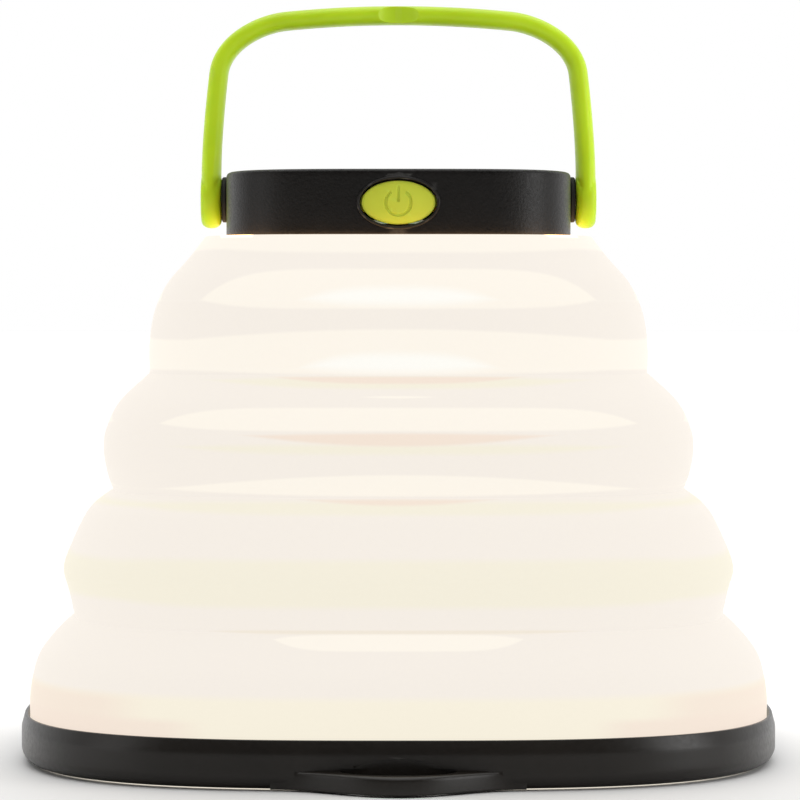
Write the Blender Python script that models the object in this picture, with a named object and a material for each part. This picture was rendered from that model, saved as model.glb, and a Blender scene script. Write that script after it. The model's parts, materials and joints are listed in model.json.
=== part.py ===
"""A collapsible camping lantern: a light cap on a folding silicone bellows over a translucent base.

Metres, +Z up. The origin is the centre of the underside, the button and the hang loop face -Y,
the charging port faces +Y, and the handle turns about the X direction.
"""

import math

import bmesh
import bpy
from mathutils import Vector

# Driving sizes. A "half" is half the width of a rounded-square outline, and a "power" is the
# exponent of that outline: 2 is a circle, and higher is squarer.
SIDES = 40
SMALL_SIDES = 12

BASE_HALF = 0.05715
BASE_POWER = 3.0
RING_BOTTOM = 0.0002
RING_TOP = 0.0072
RING_RIM_OUTER = 0.05665
RING_RIM_INNER = 0.05615
RING_FLOOR_BOTTOM = 0.0019
RING_FLOOR_TOP = 0.0039
RING_OPENING = 0.0475
LENS_RECESS = 0.0549
BOTTOM_LENS_HALF = 0.0546
BOTTOM_LENS_THICK = 0.0016

LOOP_HALF_WIDTH = 0.0165
LOOP_ROOT = 0.0560
LOOP_REACH = 0.0641
LOOP_BACK = 0.0551
LOOP_BOTTOM = 0.00025
LOOP_TOP = 0.0029
SLOT_HALF_WIDTH = 0.0079
SLOT_DEPTH = 0.0047
SLOT_BACK = 0.0568

BELLOWS_WALL = 0.0012
BELLOWS_FOOT_BOTTOM = 0.00415
BELLOWS_FOOT_INNER = 0.0495
BELLOWS_TOP = 0.07860
BELLOWS_TOP_INNER = 0.0205
# Each tier of the bellows from its upper fold to its lower fold: (half, height) points.
BELLOWS_TIERS = (
    (
        (0.0295, 0.07875), (0.0319, 0.0756), (0.0352, 0.0717),
        (0.0371, 0.0675), (0.0379, 0.0626), (0.0379, 0.0582),
    ),
    (
        (0.0379, 0.0582), (0.0423, 0.0540), (0.0443, 0.0501),
        (0.0448, 0.0470), (0.0443, 0.0434), (0.0434, 0.0407),
    ),
    (
        (0.0434, 0.0407), (0.0470, 0.0377), (0.0497, 0.0324),
        (0.0508, 0.0289), (0.0501, 0.0258), (0.0492, 0.0217),
    ),
    (
        (0.0492, 0.0217), (0.0517, 0.0195), (0.0544, 0.0161),
        (0.0555, 0.0126), (0.0559, 0.0097), (0.0559, 0.0072),
    ),
)

BASE_CLAMP_INNER = 0.0497
BASE_CLAMP_OUTER = 0.0542
BASE_CLAMP_BOTTOM = 0.0056
BASE_CLAMP_TOP = 0.0069
BASE_SCREW_COUNT = 6
BASE_SCREW_CIRCLE = 0.0520
BASE_SCREW_TURN = math.radians(33.75)

CAP_HALF = 0.0263
CAP_POWER = 3.6
CAP_WALL = 0.0015
CAP_BOTTOM = 0.07880
CAP_TOP = 0.0885
CAP_CEILING = 0.0859
CAP_EDGE = 0.0006
SOLAR_RECESS_HALF = 0.0211
SOLAR_RECESS_FLOOR = 0.0870
CAP_SCREW_PLACE = 0.0186
CAP_BOSS_RADIUS = 0.0028
CAP_CLAMP_BOTTOM = 0.07570
CAP_CLAMP_TOP = 0.07720
CAP_CLAMP_HALF = 0.0265
CAP_FLOOR_HALF = 0.0242
CAP_FLOOR_BOTTOM = 0.0792
CAP_FLOOR_TOP = 0.0804
LED_WINDOW_RADIUS = 0.0130

BOARD_HALF = 0.0215
BOARD_POWER = 2.2
BOARD_BOTTOM = 0.0811
BOARD_TOP = 0.0819
BOARD_SCREW_X = 0.0185
LED_COUNT = 6
LED_CIRCLE = 0.0085

PIVOT_HEIGHT = 0.0847
EYE_RADIUS = 0.0044
EYE_INNER = 0.0273
EYE_OUTER = 0.0304
PIN_SHAFT = 0.0013
PIN_HOLE = ((0.0230, 0.0020), (0.0247, 0.0020), (0.0247, 0.00145), (0.0280, 0.00145))

HANDLE_HALF_DEPTH = 0.00275
HANDLE_LEG_X = 0.02885
HANDLE_LEG_LEAN = 0.00115
HANDLE_LEAN_Z = 0.0886
HANDLE_BEND_Z = 0.1041
HANDLE_BEND_PULL = 0.0046
HANDLE_TOP_Z = 0.11305
HANDLE_ARCH = 0.00085
HANDLE_ARCH_X = 0.0172

BUTTON_HEIGHT = 0.0835
BUTTON_HALF_WIDTH = 0.00545
BUTTON_HALF_TALL = 0.00323
BUTTON_GAP = 0.00025
BUTTON_FRONT = -0.02665
RIDGE_HALF_WIDTH = 0.0062
RIDGE_HALF_TALL = 0.00375

PORT_HEIGHT = 0.0834
COVER_HALF_WIDTH = 0.0061
COVER_BACK = 0.0256
COVER_BOTTOM = 0.0801
COVER_TOP = 0.0864

WIRE_RADIUS = 0.0004
BATTERY_LEAD_X = 0.0096
SOLAR_LEAD_X = 0.0172
SOLAR_LEAD_Y = 0.0021

COLOURS = {
    "black_plastic": ((0.020, 0.019, 0.018), 0.42, 0.0),
    "textured_plastic": ((0.028, 0.027, 0.026), 0.58, 0.0),
    "translucent_plastic": ((0.90, 0.88, 0.82), 0.35, 0.0),
    "silicone": ((0.92, 0.88, 0.80), 0.45, 0.0),
    "lime_plastic": ((0.42, 0.62, 0.03), 0.40, 0.0),
    "lime_rubber": ((0.52, 0.58, 0.04), 0.50, 0.0),
    "black_rubber": ((0.025, 0.025, 0.025), 0.75, 0.0),
    "steel": ((0.60, 0.60, 0.62), 0.30, 1.0),
    "circuit_green": ((0.03, 0.22, 0.09), 0.50, 0.0),
    "led_phosphor": ((0.95, 0.80, 0.30), 0.40, 0.0),
    "chip_black": ((0.03, 0.03, 0.03), 0.50, 0.0),
    "cell_foil": ((0.70, 0.71, 0.72), 0.35, 0.9),
    "foam": ((0.10, 0.10, 0.10), 0.90, 0.0),
    "red_wire": ((0.60, 0.03, 0.02), 0.50, 0.0),
    "black_wire": ((0.02, 0.02, 0.02), 0.50, 0.0),
    "solar_cell": ((0.01, 0.02, 0.07), 0.20, 0.1),
    "solar_window": ((0.30, 0.32, 0.38), 0.10, 0.0),
}


def clear_scene():
    for obj in list(bpy.data.objects):
        bpy.data.objects.remove(obj, do_unlink=True)


def material(name):
    """The named Principled material, made on its first use."""
    found = bpy.data.materials.get(name)
    if found:
        return found
    colour, roughness, metallic = COLOURS[name]
    made = bpy.data.materials.new(name)
    made.use_nodes = True
    shader = made.node_tree.nodes["Principled BSDF"]
    shader.inputs["Base Color"].default_value = (*colour, 1.0)
    shader.inputs["Roughness"].default_value = roughness
    shader.inputs["Metallic"].default_value = metallic
    return made


def add_object(name, data, finish=None):
    obj = bpy.data.objects.new(name, data)
    bpy.context.scene.collection.objects.link(obj)
    if finish:
        data.materials.clear()
        data.materials.append(material(finish))
    return obj


def skinned_mesh(name, loops, hollow=False):
    """A closed mesh over loops of equal length.

    A hollow one joins its last loop to its first; otherwise both ends are capped.
    """
    mesh = bpy.data.meshes.new(name)
    shape = bmesh.new()
    rows = [[shape.verts.new(point) for point in loop] for loop in loops]
    pairs = list(zip(rows, rows[1:]))
    if hollow:
        pairs.append((rows[-1], rows[0]))
    else:
        shape.faces.new(rows[0])
        shape.faces.new(rows[-1])
    for low, high in pairs:
        for i in range(len(low)):
            j = (i + 1) % len(low)
            shape.faces.new((low[i], low[j], high[j], high[i]))
    bmesh.ops.recalc_face_normals(shape, faces=shape.faces)
    shape.to_mesh(mesh)
    shape.free()
    mesh.shade_smooth()
    mesh.set_sharp_from_angle(angle=math.radians(35))
    return mesh


def skin(name, loops, finish=None, hollow=False):
    return add_object(name, skinned_mesh(name, loops, hollow), finish)


def plan_radius(half, power, angle):
    """How far a rounded-square outline reaches from its centre at an angle."""
    across = abs(math.cos(angle))
    along = abs(math.sin(angle))
    return half / (across**power + along**power) ** (1 / power)


def plan_loop(half, power, z, sides=SIDES):
    points = []
    for i in range(sides):
        angle = math.tau * i / sides
        reach = plan_radius(half, power, angle)
        points.append((reach * math.cos(angle), reach * math.sin(angle), z))
    return points


def ellipse_loop(centre, axis, half_a, half_b, sides=SMALL_SIDES):
    """An ellipse about a centre, across the axis named "X", "Y" or "Z"."""
    first, second = {"X": (1, 2), "Y": (0, 2), "Z": (0, 1)}[axis]
    points = []
    for i in range(sides):
        angle = math.tau * i / sides
        point = list(centre)
        point[first] += half_a * math.cos(angle)
        point[second] += half_b * math.sin(angle)
        points.append(point)
    return points


def turned(name, centre, axis, profile, finish=None, sides=SMALL_SIDES, hollow=False):
    """A turned piece: profile lists (distance along the axis from the centre, radius)."""
    step = Vector([float(axis == letter) for letter in "XYZ"])
    loops = [
        ellipse_loop(Vector(centre) + step * along, axis, radius, radius, sides)
        for along, radius in profile
    ]
    return skin(name, loops, finish, hollow)


def box(name, low, high, finish=None, edge=0.0):
    """A block between two corners, with its upright edges chamfered."""
    x0, y0, z0 = low
    x1, y1, z1 = high
    if edge:
        outline = (
            (x0 + edge, y0), (x1 - edge, y0), (x1, y0 + edge), (x1, y1 - edge),
            (x1 - edge, y1), (x0 + edge, y1), (x0, y1 - edge), (x0, y0 + edge),
        )
    else:
        outline = ((x0, y0), (x1, y0), (x1, y1), (x0, y1))
    loops = [[(x, y, z) for x, y in outline] for z in (z0, z1)]
    return skin(name, loops, finish)


def boolean(target, tool, operation):
    """Joins or cuts with a helper that isn't part of the lantern itself."""
    tool.hide_render = True
    tool.display_type = "WIRE"
    step = target.modifiers.new(tool.name, "BOOLEAN")
    step.operation = operation
    step.solver = "EXACT"
    step.object = tool


def cut(target, *tools):
    for tool in tools:
        boolean(target, tool, "DIFFERENCE")


def join(target, *tools):
    for tool in tools:
        boolean(target, tool, "UNION")


def arc_points(centre, radius, start, end, steps):
    """(across, height) points on a round edge, from one angle to another in degrees."""
    return [
        (
            centre[0] + radius * math.cos(math.radians(start + (end - start) * i / steps)),
            centre[1] + radius * math.sin(math.radians(start + (end - start) * i / steps)),
        )
        for i in range(steps + 1)
    ]


def copies(name, mesh, places, finish, turn=None):
    """One object for each place, all sharing a mesh."""
    for number, place in enumerate(places, 1):
        piece = add_object(f"{name}_{number}", mesh, finish)
        piece.location = place
        if turn:
            piece.rotation_euler = turn


def base_screw_places():
    """The screws stand on a rounded-square path round the base's clamp ring."""
    places = []
    for i in range(BASE_SCREW_COUNT):
        angle = BASE_SCREW_TURN + math.tau * i / BASE_SCREW_COUNT
        reach = plan_radius(BASE_SCREW_CIRCLE, BASE_POWER, angle)
        places.append((reach * math.cos(angle), reach * math.sin(angle), 0.0))
    return places


def cap_screw_places():
    return [(x * CAP_SCREW_PLACE, y * CAP_SCREW_PLACE, 0.0) for x in (-1, 1) for y in (-1, 1)]


def hang_loop():
    """The flat lip below the front wall: a smooth bulge in plan, with rounded upper and lower edges."""
    loops = []
    edge = 0.0005
    levels = ((LOOP_BOTTOM, edge), (LOOP_BOTTOM + edge, 0.0), (LOOP_TOP - edge, 0.0), (LOOP_TOP, edge))
    steps = 24
    for z, inset in levels:
        points = []
        for i in range(steps + 1):
            x = LOOP_HALF_WIDTH * (2 * i / steps - 1)
            bulge = (LOOP_REACH - LOOP_ROOT) * math.cos(math.pi / 2 * x / LOOP_HALF_WIDTH) ** 2
            points.append((x, -(LOOP_ROOT + bulge - inset), z))
        points.append((LOOP_HALF_WIDTH, -LOOP_BACK, z))
        points.append((-LOOP_HALF_WIDTH, -LOOP_BACK, z))
        loops.append(points)
    return skin("hang_loop_joined", loops)


def loop_slot():
    """The cutter for the slot between the lip and the wall: straight at the back, bowed at the front."""
    outline = []
    steps = 16
    for i in range(steps + 1):
        angle = math.pi * i / steps
        x = -SLOT_HALF_WIDTH * math.copysign(abs(math.cos(angle)) ** (2 / 2.4), math.cos(angle))
        y = -(SLOT_BACK + SLOT_DEPTH * math.sin(angle) ** (2 / 1.8))
        outline.append((x, y))
    loops = [[(x, y, z) for x, y in outline] for z in (-0.001, LOOP_TOP + 0.0005)]
    return skin("loop_slot_cutter", loops)


def loop_arch():
    """The cutter for the shallow arched hollow in the wall above the slot."""
    loops = []
    for i in range(1, 8):
        slope = math.pi * i / 8 - math.pi / 2
        centre = (0.0, -0.0574, 0.0019 + 0.0029 * math.sin(slope))
        loops.append(ellipse_loop(centre, "Z", 0.0077 * math.cos(slope), 0.0009 * math.cos(slope), 24))
    return skin("loop_arch_cutter", loops)


def screw_cutters(name, places, profile):
    """Clearance for a set of screws, from one turned profile of shaft and head."""
    return [turned(f"{name}_{number}", place, "Z", profile) for number, place in enumerate(places, 1)]


def base_ring(screw_tools):
    """The black outer frame: wall, inward floor, recess for the bottom lens, and the hang loop."""
    outline = [(RING_RIM_OUTER, RING_TOP), (BASE_HALF - 0.00005, 0.0054), (BASE_HALF, 0.0050)]
    outline += arc_points((BASE_HALF - 0.0020, RING_BOTTOM + 0.0020), 0.0020, 0, -90, 5)
    outline += [
        (LENS_RECESS, RING_BOTTOM),
        (LENS_RECESS, RING_FLOOR_BOTTOM),
        (RING_OPENING, RING_FLOOR_BOTTOM),
        (RING_OPENING, RING_FLOOR_TOP),
        (RING_RIM_INNER, RING_FLOOR_TOP),
        (RING_RIM_INNER, RING_TOP),
    ]
    loops = [plan_loop(half, BASE_POWER, z) for half, z in outline]
    ring = skin("base_ring", loops, "black_plastic", hollow=True)
    join(ring, hang_loop())
    cut(ring, loop_slot(), loop_arch(), *screw_tools)


def bottom_lens():
    """The translucent plate that closes the underside: the lantern stands on its flat face."""
    edge = 0.0003
    outline = (
        (BOTTOM_LENS_HALF - edge, 0.0),
        (BOTTOM_LENS_HALF, edge),
        (BOTTOM_LENS_HALF, BOTTOM_LENS_THICK - edge),
        (BOTTOM_LENS_HALF - edge, BOTTOM_LENS_THICK),
    )
    skin("bottom_lens", [plan_loop(half, BASE_POWER, z) for half, z in outline], "translucent_plastic")


def base_clamp(screw_tools):
    """The ring that presses the bellows' foot down onto the base ring's floor."""
    outline = (
        (BASE_CLAMP_OUTER, BASE_CLAMP_BOTTOM),
        (BASE_CLAMP_OUTER, BASE_CLAMP_TOP),
        (BASE_CLAMP_INNER, BASE_CLAMP_TOP),
        (BASE_CLAMP_INNER, BASE_CLAMP_BOTTOM),
    )
    loops = [plan_loop(half, BASE_POWER, z) for half, z in outline]
    cut(skin("base_clamp_ring", loops, "black_plastic", hollow=True), *screw_tools)


def bellows_power(z):
    """The bellows is squarer under the cap and rounder towards the base."""
    low = BELLOWS_TIERS[-1][-1][1]
    high = BELLOWS_TIERS[0][0][1]
    share = min(max((z - low) / (high - low), 0.0), 1.0)
    return BASE_POWER + (CAP_POWER - BASE_POWER) * share


def curve_through(points, steps):
    """A smooth curve through the points, with its ends left sharp."""
    line = [Vector(point) for point in points]
    line = [2 * line[0] - line[1], *line, 2 * line[-1] - line[-2]]
    made = []
    for before, start, end, after in zip(line, line[1:], line[2:], line[3:]):
        for i in range(steps):
            t = i / steps
            made.append(
                0.5
                * (
                    2 * start
                    + (end - before) * t
                    + (2 * before - 5 * start + 4 * end - after) * t**2
                    + (3 * start - before - 3 * end + after) * t**3
                )
            )
    return made


def inward(points, distance):
    """The same line moved to the bellows' inner side, which is on its right going down."""
    moved = []
    for i, point in enumerate(points):
        ahead = points[min(i + 1, len(points) - 1)] - points[max(i - 1, 0)]
        side = Vector((ahead.y, -ahead.x)).normalized()
        moved.append(point + side * distance)
    return moved


def bellows(screw_tools):
    """The silicone bellows: four tiers between a flat top flange and a flat foot flange."""
    wall = []
    for tier in BELLOWS_TIERS:
        wall += curve_through(tier, 1)
    wall.append(Vector(BELLOWS_TIERS[-1][-1]))
    inside = inward(wall, BELLOWS_WALL)
    foot_top = BELLOWS_FOOT_BOTTOM + BELLOWS_WALL
    flange_bottom = BELLOWS_TOP - BELLOWS_WALL
    outline = [(BELLOWS_TOP_INNER, BELLOWS_TOP), (CAP_HALF, BELLOWS_TOP)]
    outline += [tuple(point) for point in wall]
    outline += [
        (wall[-1].x, BELLOWS_FOOT_BOTTOM),
        (BELLOWS_FOOT_INNER, BELLOWS_FOOT_BOTTOM),
        (BELLOWS_FOOT_INNER, foot_top),
        (wall[-1].x - BELLOWS_WALL, foot_top),
    ]
    outline += [tuple(point) for point in reversed(inside[1:])]
    outline += [(CAP_HALF + 0.0012, flange_bottom), (BELLOWS_TOP_INNER, flange_bottom)]
    loops = [plan_loop(half, bellows_power(z), z) for half, z in outline]
    cut(skin("bellows", loops, "silicone", hollow=True), *screw_tools)


def screw_mesh(name, length, shaft, head, thick):
    """A pan-head screw: head below zero on its axis, shaft above, with a pointed end."""
    profile = (
        (-thick, head * 0.8),
        (-thick * 0.6, head),
        (0.0, head),
        (0.0, shaft),
        (length - 2 * shaft, shaft),
        (length, shaft * 0.25),
    )
    loops = [ellipse_loop((0.0, 0.0, along), "Z", radius, radius, 8) for along, radius in profile]
    return skinned_mesh(name, loops)


def cap_shell():
    """The cap's one-piece top and wall, with a recess for the solar panel and four screw bosses."""
    inner = CAP_HALF - CAP_WALL
    outline = (
        (inner, CAP_CEILING),
        (inner, CAP_BOTTOM),
        (CAP_HALF, CAP_BOTTOM),
        (CAP_HALF, CAP_TOP - CAP_EDGE),
        (CAP_HALF - 0.3 * CAP_EDGE, CAP_TOP - 0.3 * CAP_EDGE),
        (CAP_HALF - CAP_EDGE, CAP_TOP),
        (SOLAR_RECESS_HALF, CAP_TOP),
        (SOLAR_RECESS_HALF, SOLAR_RECESS_FLOOR),
    )
    shell = skin("cap_shell", [plan_loop(h, CAP_POWER, z) for h, z in outline], "textured_plastic")
    for number, (x, y, _) in enumerate(cap_screw_places(), 1):
        profile = ((0.0808, CAP_BOSS_RADIUS), (CAP_CEILING + 0.0005, CAP_BOSS_RADIUS))
        join(shell, turned(f"screw_boss_{number}_joined", (x, y, 0.0), "Z", profile))
        pilot = ((0.0806, 0.0012), (0.0855, 0.0012))
        cut(shell, turned(f"screw_pilot_{number}_cutter", (x, y, 0.0), "Z", pilot))
    size = (RIDGE_HALF_WIDTH, RIDGE_HALF_TALL)
    join(shell, elliptic_block("button_ridge_joined", BUTTON_FRONT, -0.0252, *size))
    hole_wide = BUTTON_HALF_WIDTH + BUTTON_GAP
    hole_tall = BUTTON_HALF_TALL + BUTTON_GAP
    cut(shell, elliptic_block("button_hole_cutter", -0.028, -0.024, hole_wide, hole_tall))
    low = (-0.0045, 0.024, PORT_HEIGHT - 0.0018)
    high = (0.0045, 0.027, PORT_HEIGHT + 0.0018)
    cut(shell, box("port_cutter", low, high))
    low = (-COVER_HALF_WIDTH - 0.0002, COVER_BACK - 0.0002, COVER_BOTTOM - 0.0002)
    high = (COVER_HALF_WIDTH + 0.0002, 0.0275, COVER_TOP + 0.0002)
    cut(shell, box("cover_pocket_cutter", low, high))
    for side in (-1, 1):
        hole = [(side * x, radius) for x, radius in PIN_HOLE]
        cut(shell, turned(f"pivot_hole_{side + 2}_cutter", (0.0, 0.0, PIVOT_HEIGHT), "X", hole))
        hole = ((CAP_CEILING - 0.0003, 0.0009), (SOLAR_RECESS_FLOOR + 0.0004, 0.0009))
        place = (-SOLAR_LEAD_X, side * SOLAR_LEAD_Y, 0.0)
        cut(shell, turned(f"lead_hole_{side + 2}_cutter", place, "Z", hole))


def elliptic_block(name, front, back, half_wide, half_tall, finish=None):
    loops = [ellipse_loop((0.0, y, BUTTON_HEIGHT), "Y", half_wide, half_tall, 32) for y in (front, back)]
    return skin(name, loops, finish)


def cap_floor(screw_tools):
    """The plate that closes the cap from below, with a round hole for the light window."""
    loops = [plan_loop(CAP_FLOOR_HALF, CAP_POWER, z) for z in (CAP_FLOOR_BOTTOM, CAP_FLOOR_TOP)]
    floor = skin("cap_floor", loops, "textured_plastic")
    for side in (-1, 1):
        place = (side * BOARD_SCREW_X, 0.0, 0.0)
        post = ((CAP_FLOOR_TOP - 0.0005, 0.0018), (BOARD_BOTTOM - 0.0002, 0.0018))
        join(floor, turned(f"board_post_{side + 2}_joined", place, "Z", post))
        pilot = ((0.0795, 0.0009), (0.0816, 0.0009))
        cut(floor, turned(f"board_pilot_{side + 2}_cutter", place, "Z", pilot))
    window = ((0.0786, LED_WINDOW_RADIUS), (0.0816, LED_WINDOW_RADIUS))
    cut(floor, turned("window_hole_cutter", (0, 0, 0), "Z", window, sides=32), *screw_tools)


def cap_clamp(screw_tools):
    """The ring that presses the bellows' top flange up against the cap."""
    outline = (
        (CAP_CLAMP_HALF, CAP_CLAMP_BOTTOM),
        (CAP_CLAMP_HALF, CAP_CLAMP_TOP),
        (BELLOWS_TOP_INNER, CAP_CLAMP_TOP),
        (BELLOWS_TOP_INNER, CAP_CLAMP_BOTTOM),
    )
    loops = [plan_loop(half, CAP_POWER, z) for half, z in outline]
    cut(skin("cap_clamp_ring", loops, "textured_plastic", hollow=True), *screw_tools)


def light_parts():
    """The light window, the circuit board and the LEDs under it."""
    radius = LED_WINDOW_RADIUS - 0.0003
    turned("led_window", (0, 0, 0), "Z", ((0.0790, radius), (0.0799, radius)), "translucent_plastic", 32)
    loops = [plan_loop(BOARD_HALF, BOARD_POWER, z, 32) for z in (BOARD_BOTTOM, BOARD_TOP)]
    board = skin("circuit_board", loops, "circuit_green")
    for side in (-1, 1):
        hole = ((0.0806, 0.0010), (0.0826, 0.0010))
        place = (side * BOARD_SCREW_X, 0.0, 0.0)
        cut(board, turned(f"board_hole_{side + 2}_cutter", place, "Z", hole))
    for i in range(LED_COUNT):
        angle = math.tau * i / LED_COUNT
        x = LED_CIRCLE * math.cos(angle)
        y = LED_CIRCLE * math.sin(angle)
        low = (x - 0.00175, y - 0.0014, 0.0802)
        high = (x + 0.00175, y + 0.0014, BOARD_BOTTOM - 0.0002)
        box(f"led_{i + 1}", low, high, "led_phosphor", 0.0003)


def board_parts():
    """What stands on the board: switch, charging socket, chips, battery and leads."""
    rest = BOARD_TOP + 0.0002
    housing = box("switch_housing", (-0.003, -0.0204, rest), (0.003, -0.0170, 0.0851), "chip_black")
    bore = ((-0.021, 0.00115), (-0.0176, 0.00115))
    cut(housing, turned("switch_bore_cutter", (0, 0, BUTTON_HEIGHT), "Y", bore))
    low = (-0.0038, 0.0190, rest)
    high = (0.0038, 0.0242, rest + 0.0027)
    socket = box("usb_socket", low, high, "steel")
    low = (-0.00345, 0.0195, rest + 0.0004)
    high = (0.00345, 0.0250, rest + 0.0023)
    cut(socket, box("socket_cutter", low, high))
    low = (-0.0018, 0.0192, rest + 0.0010)
    high = (0.0018, 0.0238, rest + 0.0016)
    join(socket, box("socket_tongue_joined", low, high))
    box("charger_chip", (-0.0115, 0.0145, rest), (-0.0075, 0.0185, rest + 0.0009), "chip_black")
    box("driver_chip", (0.0075, 0.0145, rest), (0.0125, 0.0185, rest + 0.0010), "chip_black")
    box("battery_pad", (-0.0120, -0.0100, rest), (0.0120, 0.0100, rest + 0.0005), "foam")
    box("battery_cell", (-0.0150, -0.0120, 0.0828), (0.0150, 0.0120, 0.0856), "cell_foil", 0.0010)
    leads()


def leads():
    """The battery's and the solar panel's red and black leads, down to the board."""
    x = BATTERY_LEAD_X
    wire("battery_lead_red", "red_wire", (
        (x + 0.0024, -0.0122, 0.0842), (x + 0.0025, -0.0138, 0.0844),
        (x + 0.0028, -0.0150, 0.0835), (x + 0.0032, -0.0156, 0.0822),
    ))
    wire("battery_lead_black", "black_wire", (
        (x, -0.0122, 0.0842), (x, -0.0138, 0.0844),
        (x + 0.0001, -0.0150, 0.0835), (x + 0.0002, -0.0156, 0.0822),
    ))
    for side, colour in ((1, "red"), (-1, "black")):
        wire(f"solar_lead_{colour}", f"{colour}_wire", (
            (-SOLAR_LEAD_X, side * SOLAR_LEAD_Y, 0.0869), (-SOLAR_LEAD_X, side * 0.0022, 0.0855),
            (-0.0175, side * 0.0036, 0.0837), (-0.0175, side * 0.0050, 0.0822),
        ))


def wire(name, finish, route):
    """A thin insulated lead along a smooth curve through its route."""
    points = curve_through(route, 3) + [Vector(route[-1])]
    curve = bpy.data.curves.new(name, "CURVE")
    curve.dimensions = "3D"
    curve.bevel_depth = WIRE_RADIUS
    curve.bevel_resolution = 2
    curve.use_fill_caps = True
    line = curve.splines.new("POLY")
    line.points.add(len(points) - 1)
    for point, place in zip(line.points, points):
        point.co = (*place, 1.0)
    add_object(name, curve, finish)


def solar_parts():
    """The solar panel in the cap's recess, under its clear window."""
    half = SOLAR_RECESS_HALF - 0.0003
    for name, low, high in (("solar_panel", 0.0872, 0.0877), ("solar_window", 0.0879, 0.08845)):
        finish = "solar_cell" if name == "solar_panel" else "solar_window"
        skin(name, [plan_loop(half, CAP_POWER, z) for z in (low, high)], finish)


def pivots():
    """On each side a shouldered pin through the handle's eye, and a washer that grips the handle."""
    pin = (
        (0.0234, 0.0012), (0.0238, 0.0017), (0.0245, 0.0017), (0.0246, PIN_SHAFT),
        (0.0295, PIN_SHAFT), (0.0295, 0.0024), (0.0300, 0.0024), (0.0302, 0.0021),
    )
    washer = ((0.0264, 0.0035), (0.0272, 0.0035), (0.0272, 0.00155), (0.0264, 0.00155))
    for side, word in ((-1, "left"), (1, "right")):
        centre = (0.0, 0.0, PIVOT_HEIGHT)
        profile = [(side * along, radius) for along, radius in pin]
        turned(f"pivot_pin_{word}", centre, "X", profile, "steel")
        profile = [(side * along, radius) for along, radius in washer]
        turned(f"pivot_washer_{word}", centre, "X", profile, "black_rubber", 24, hollow=True)


def handle_path():
    """The middle line of the bail in the XZ plane, from its left eye over the top to its right eye."""
    lean_power = 1.6
    lean_length = HANDLE_BEND_Z - HANDLE_LEAN_Z
    right = [Vector((HANDLE_LEG_X, PIVOT_HEIGHT))]
    for step in range(4):
        lean = step / 4
        across = HANDLE_LEG_X - HANDLE_LEG_LEAN * lean**lean_power
        right.append(Vector((across, HANDLE_LEAN_Z + lean_length * lean)))
    start = Vector((HANDLE_LEG_X - HANDLE_LEG_LEAN, HANDLE_BEND_Z))
    end = Vector((HANDLE_ARCH_X, HANDLE_TOP_Z - HANDLE_ARCH))
    leg_way = Vector((-lean_power * HANDLE_LEG_LEAN / lean_length, 1.0)).normalized()
    arch_way = Vector((-1.0, 2 * HANDLE_ARCH / HANDLE_ARCH_X)).normalized()
    controls = (start, start + leg_way * HANDLE_BEND_PULL, end - arch_way * HANDLE_BEND_PULL, end)
    for i in range(9):
        t = i / 8
        weights = ((1 - t) ** 3, 3 * t * (1 - t) ** 2, 3 * t**2 * (1 - t), t**3)
        right.append(sum((point * weight for point, weight in zip(controls, weights)), Vector((0, 0))))
    for x in (0.0130, 0.0085, 0.0040):
        right.append(Vector((x, HANDLE_TOP_Z - HANDLE_ARCH * (x / HANDLE_ARCH_X) ** 2)))
    left = [Vector((-point.x, point.y)) for point in right]
    return left + [Vector((0.0, HANDLE_TOP_Z))] + right[::-1]


def handle():
    """The carrying bail: an oval bar with a flat round eye on each end and a thumb hollow at the top."""
    path = handle_path()
    loops = []
    for i, point in enumerate(path):
        ahead = (path[min(i + 1, len(path) - 1)] - path[max(i - 1, 0)]).normalized()
        side = Vector((-ahead.y, ahead.x))
        climb = min(max((point.y - PIVOT_HEIGHT) / (HANDLE_TOP_Z - PIVOT_HEIGHT), 0.0), 1.0)
        half_thick = 0.00152 - 0.00008 * climb
        loop = []
        for step in range(SMALL_SIDES):
            angle = math.tau * step / SMALL_SIDES
            reach = plan_radius(1.0, 2.6, angle)
            across = side * (half_thick * reach * math.cos(angle))
            deep = HANDLE_HALF_DEPTH * reach * math.sin(angle)
            loop.append((point.x + across.x, deep, point.y + across.y))
        loops.append(loop)
    bail = skin("handle", loops, "lime_plastic")
    eye = (
        (EYE_INNER, EYE_RADIUS - 0.0004),
        (EYE_INNER + 0.0004, EYE_RADIUS),
        (EYE_OUTER - 0.0010, EYE_RADIUS),
        (EYE_OUTER - 0.0003, EYE_RADIUS - 0.0004),
        (EYE_OUTER, EYE_RADIUS - 0.0011),
    )
    pin_room = ((0.0265, 0.00155), (0.0293, 0.00155), (0.0293, 0.0027), (0.0310, 0.0027))
    for side in (-1, 1):
        centre = (0.0, 0.0, PIVOT_HEIGHT)
        profile = [(side * along, radius) for along, radius in eye]
        join(bail, turned(f"eye_{side + 2}_joined", centre, "X", profile, sides=32))
        profile = [(side * along, radius) for along, radius in pin_room]
        cut(bail, turned(f"pin_room_{side + 2}_cutter", centre, "X", profile))
    hollow = ((0.1056, 0.0050), (0.120, 0.0050))
    cut(bail, turned("thumb_hollow_cutter", (0.0, -0.0067, 0.0), "Z", hollow, sides=32))


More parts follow.
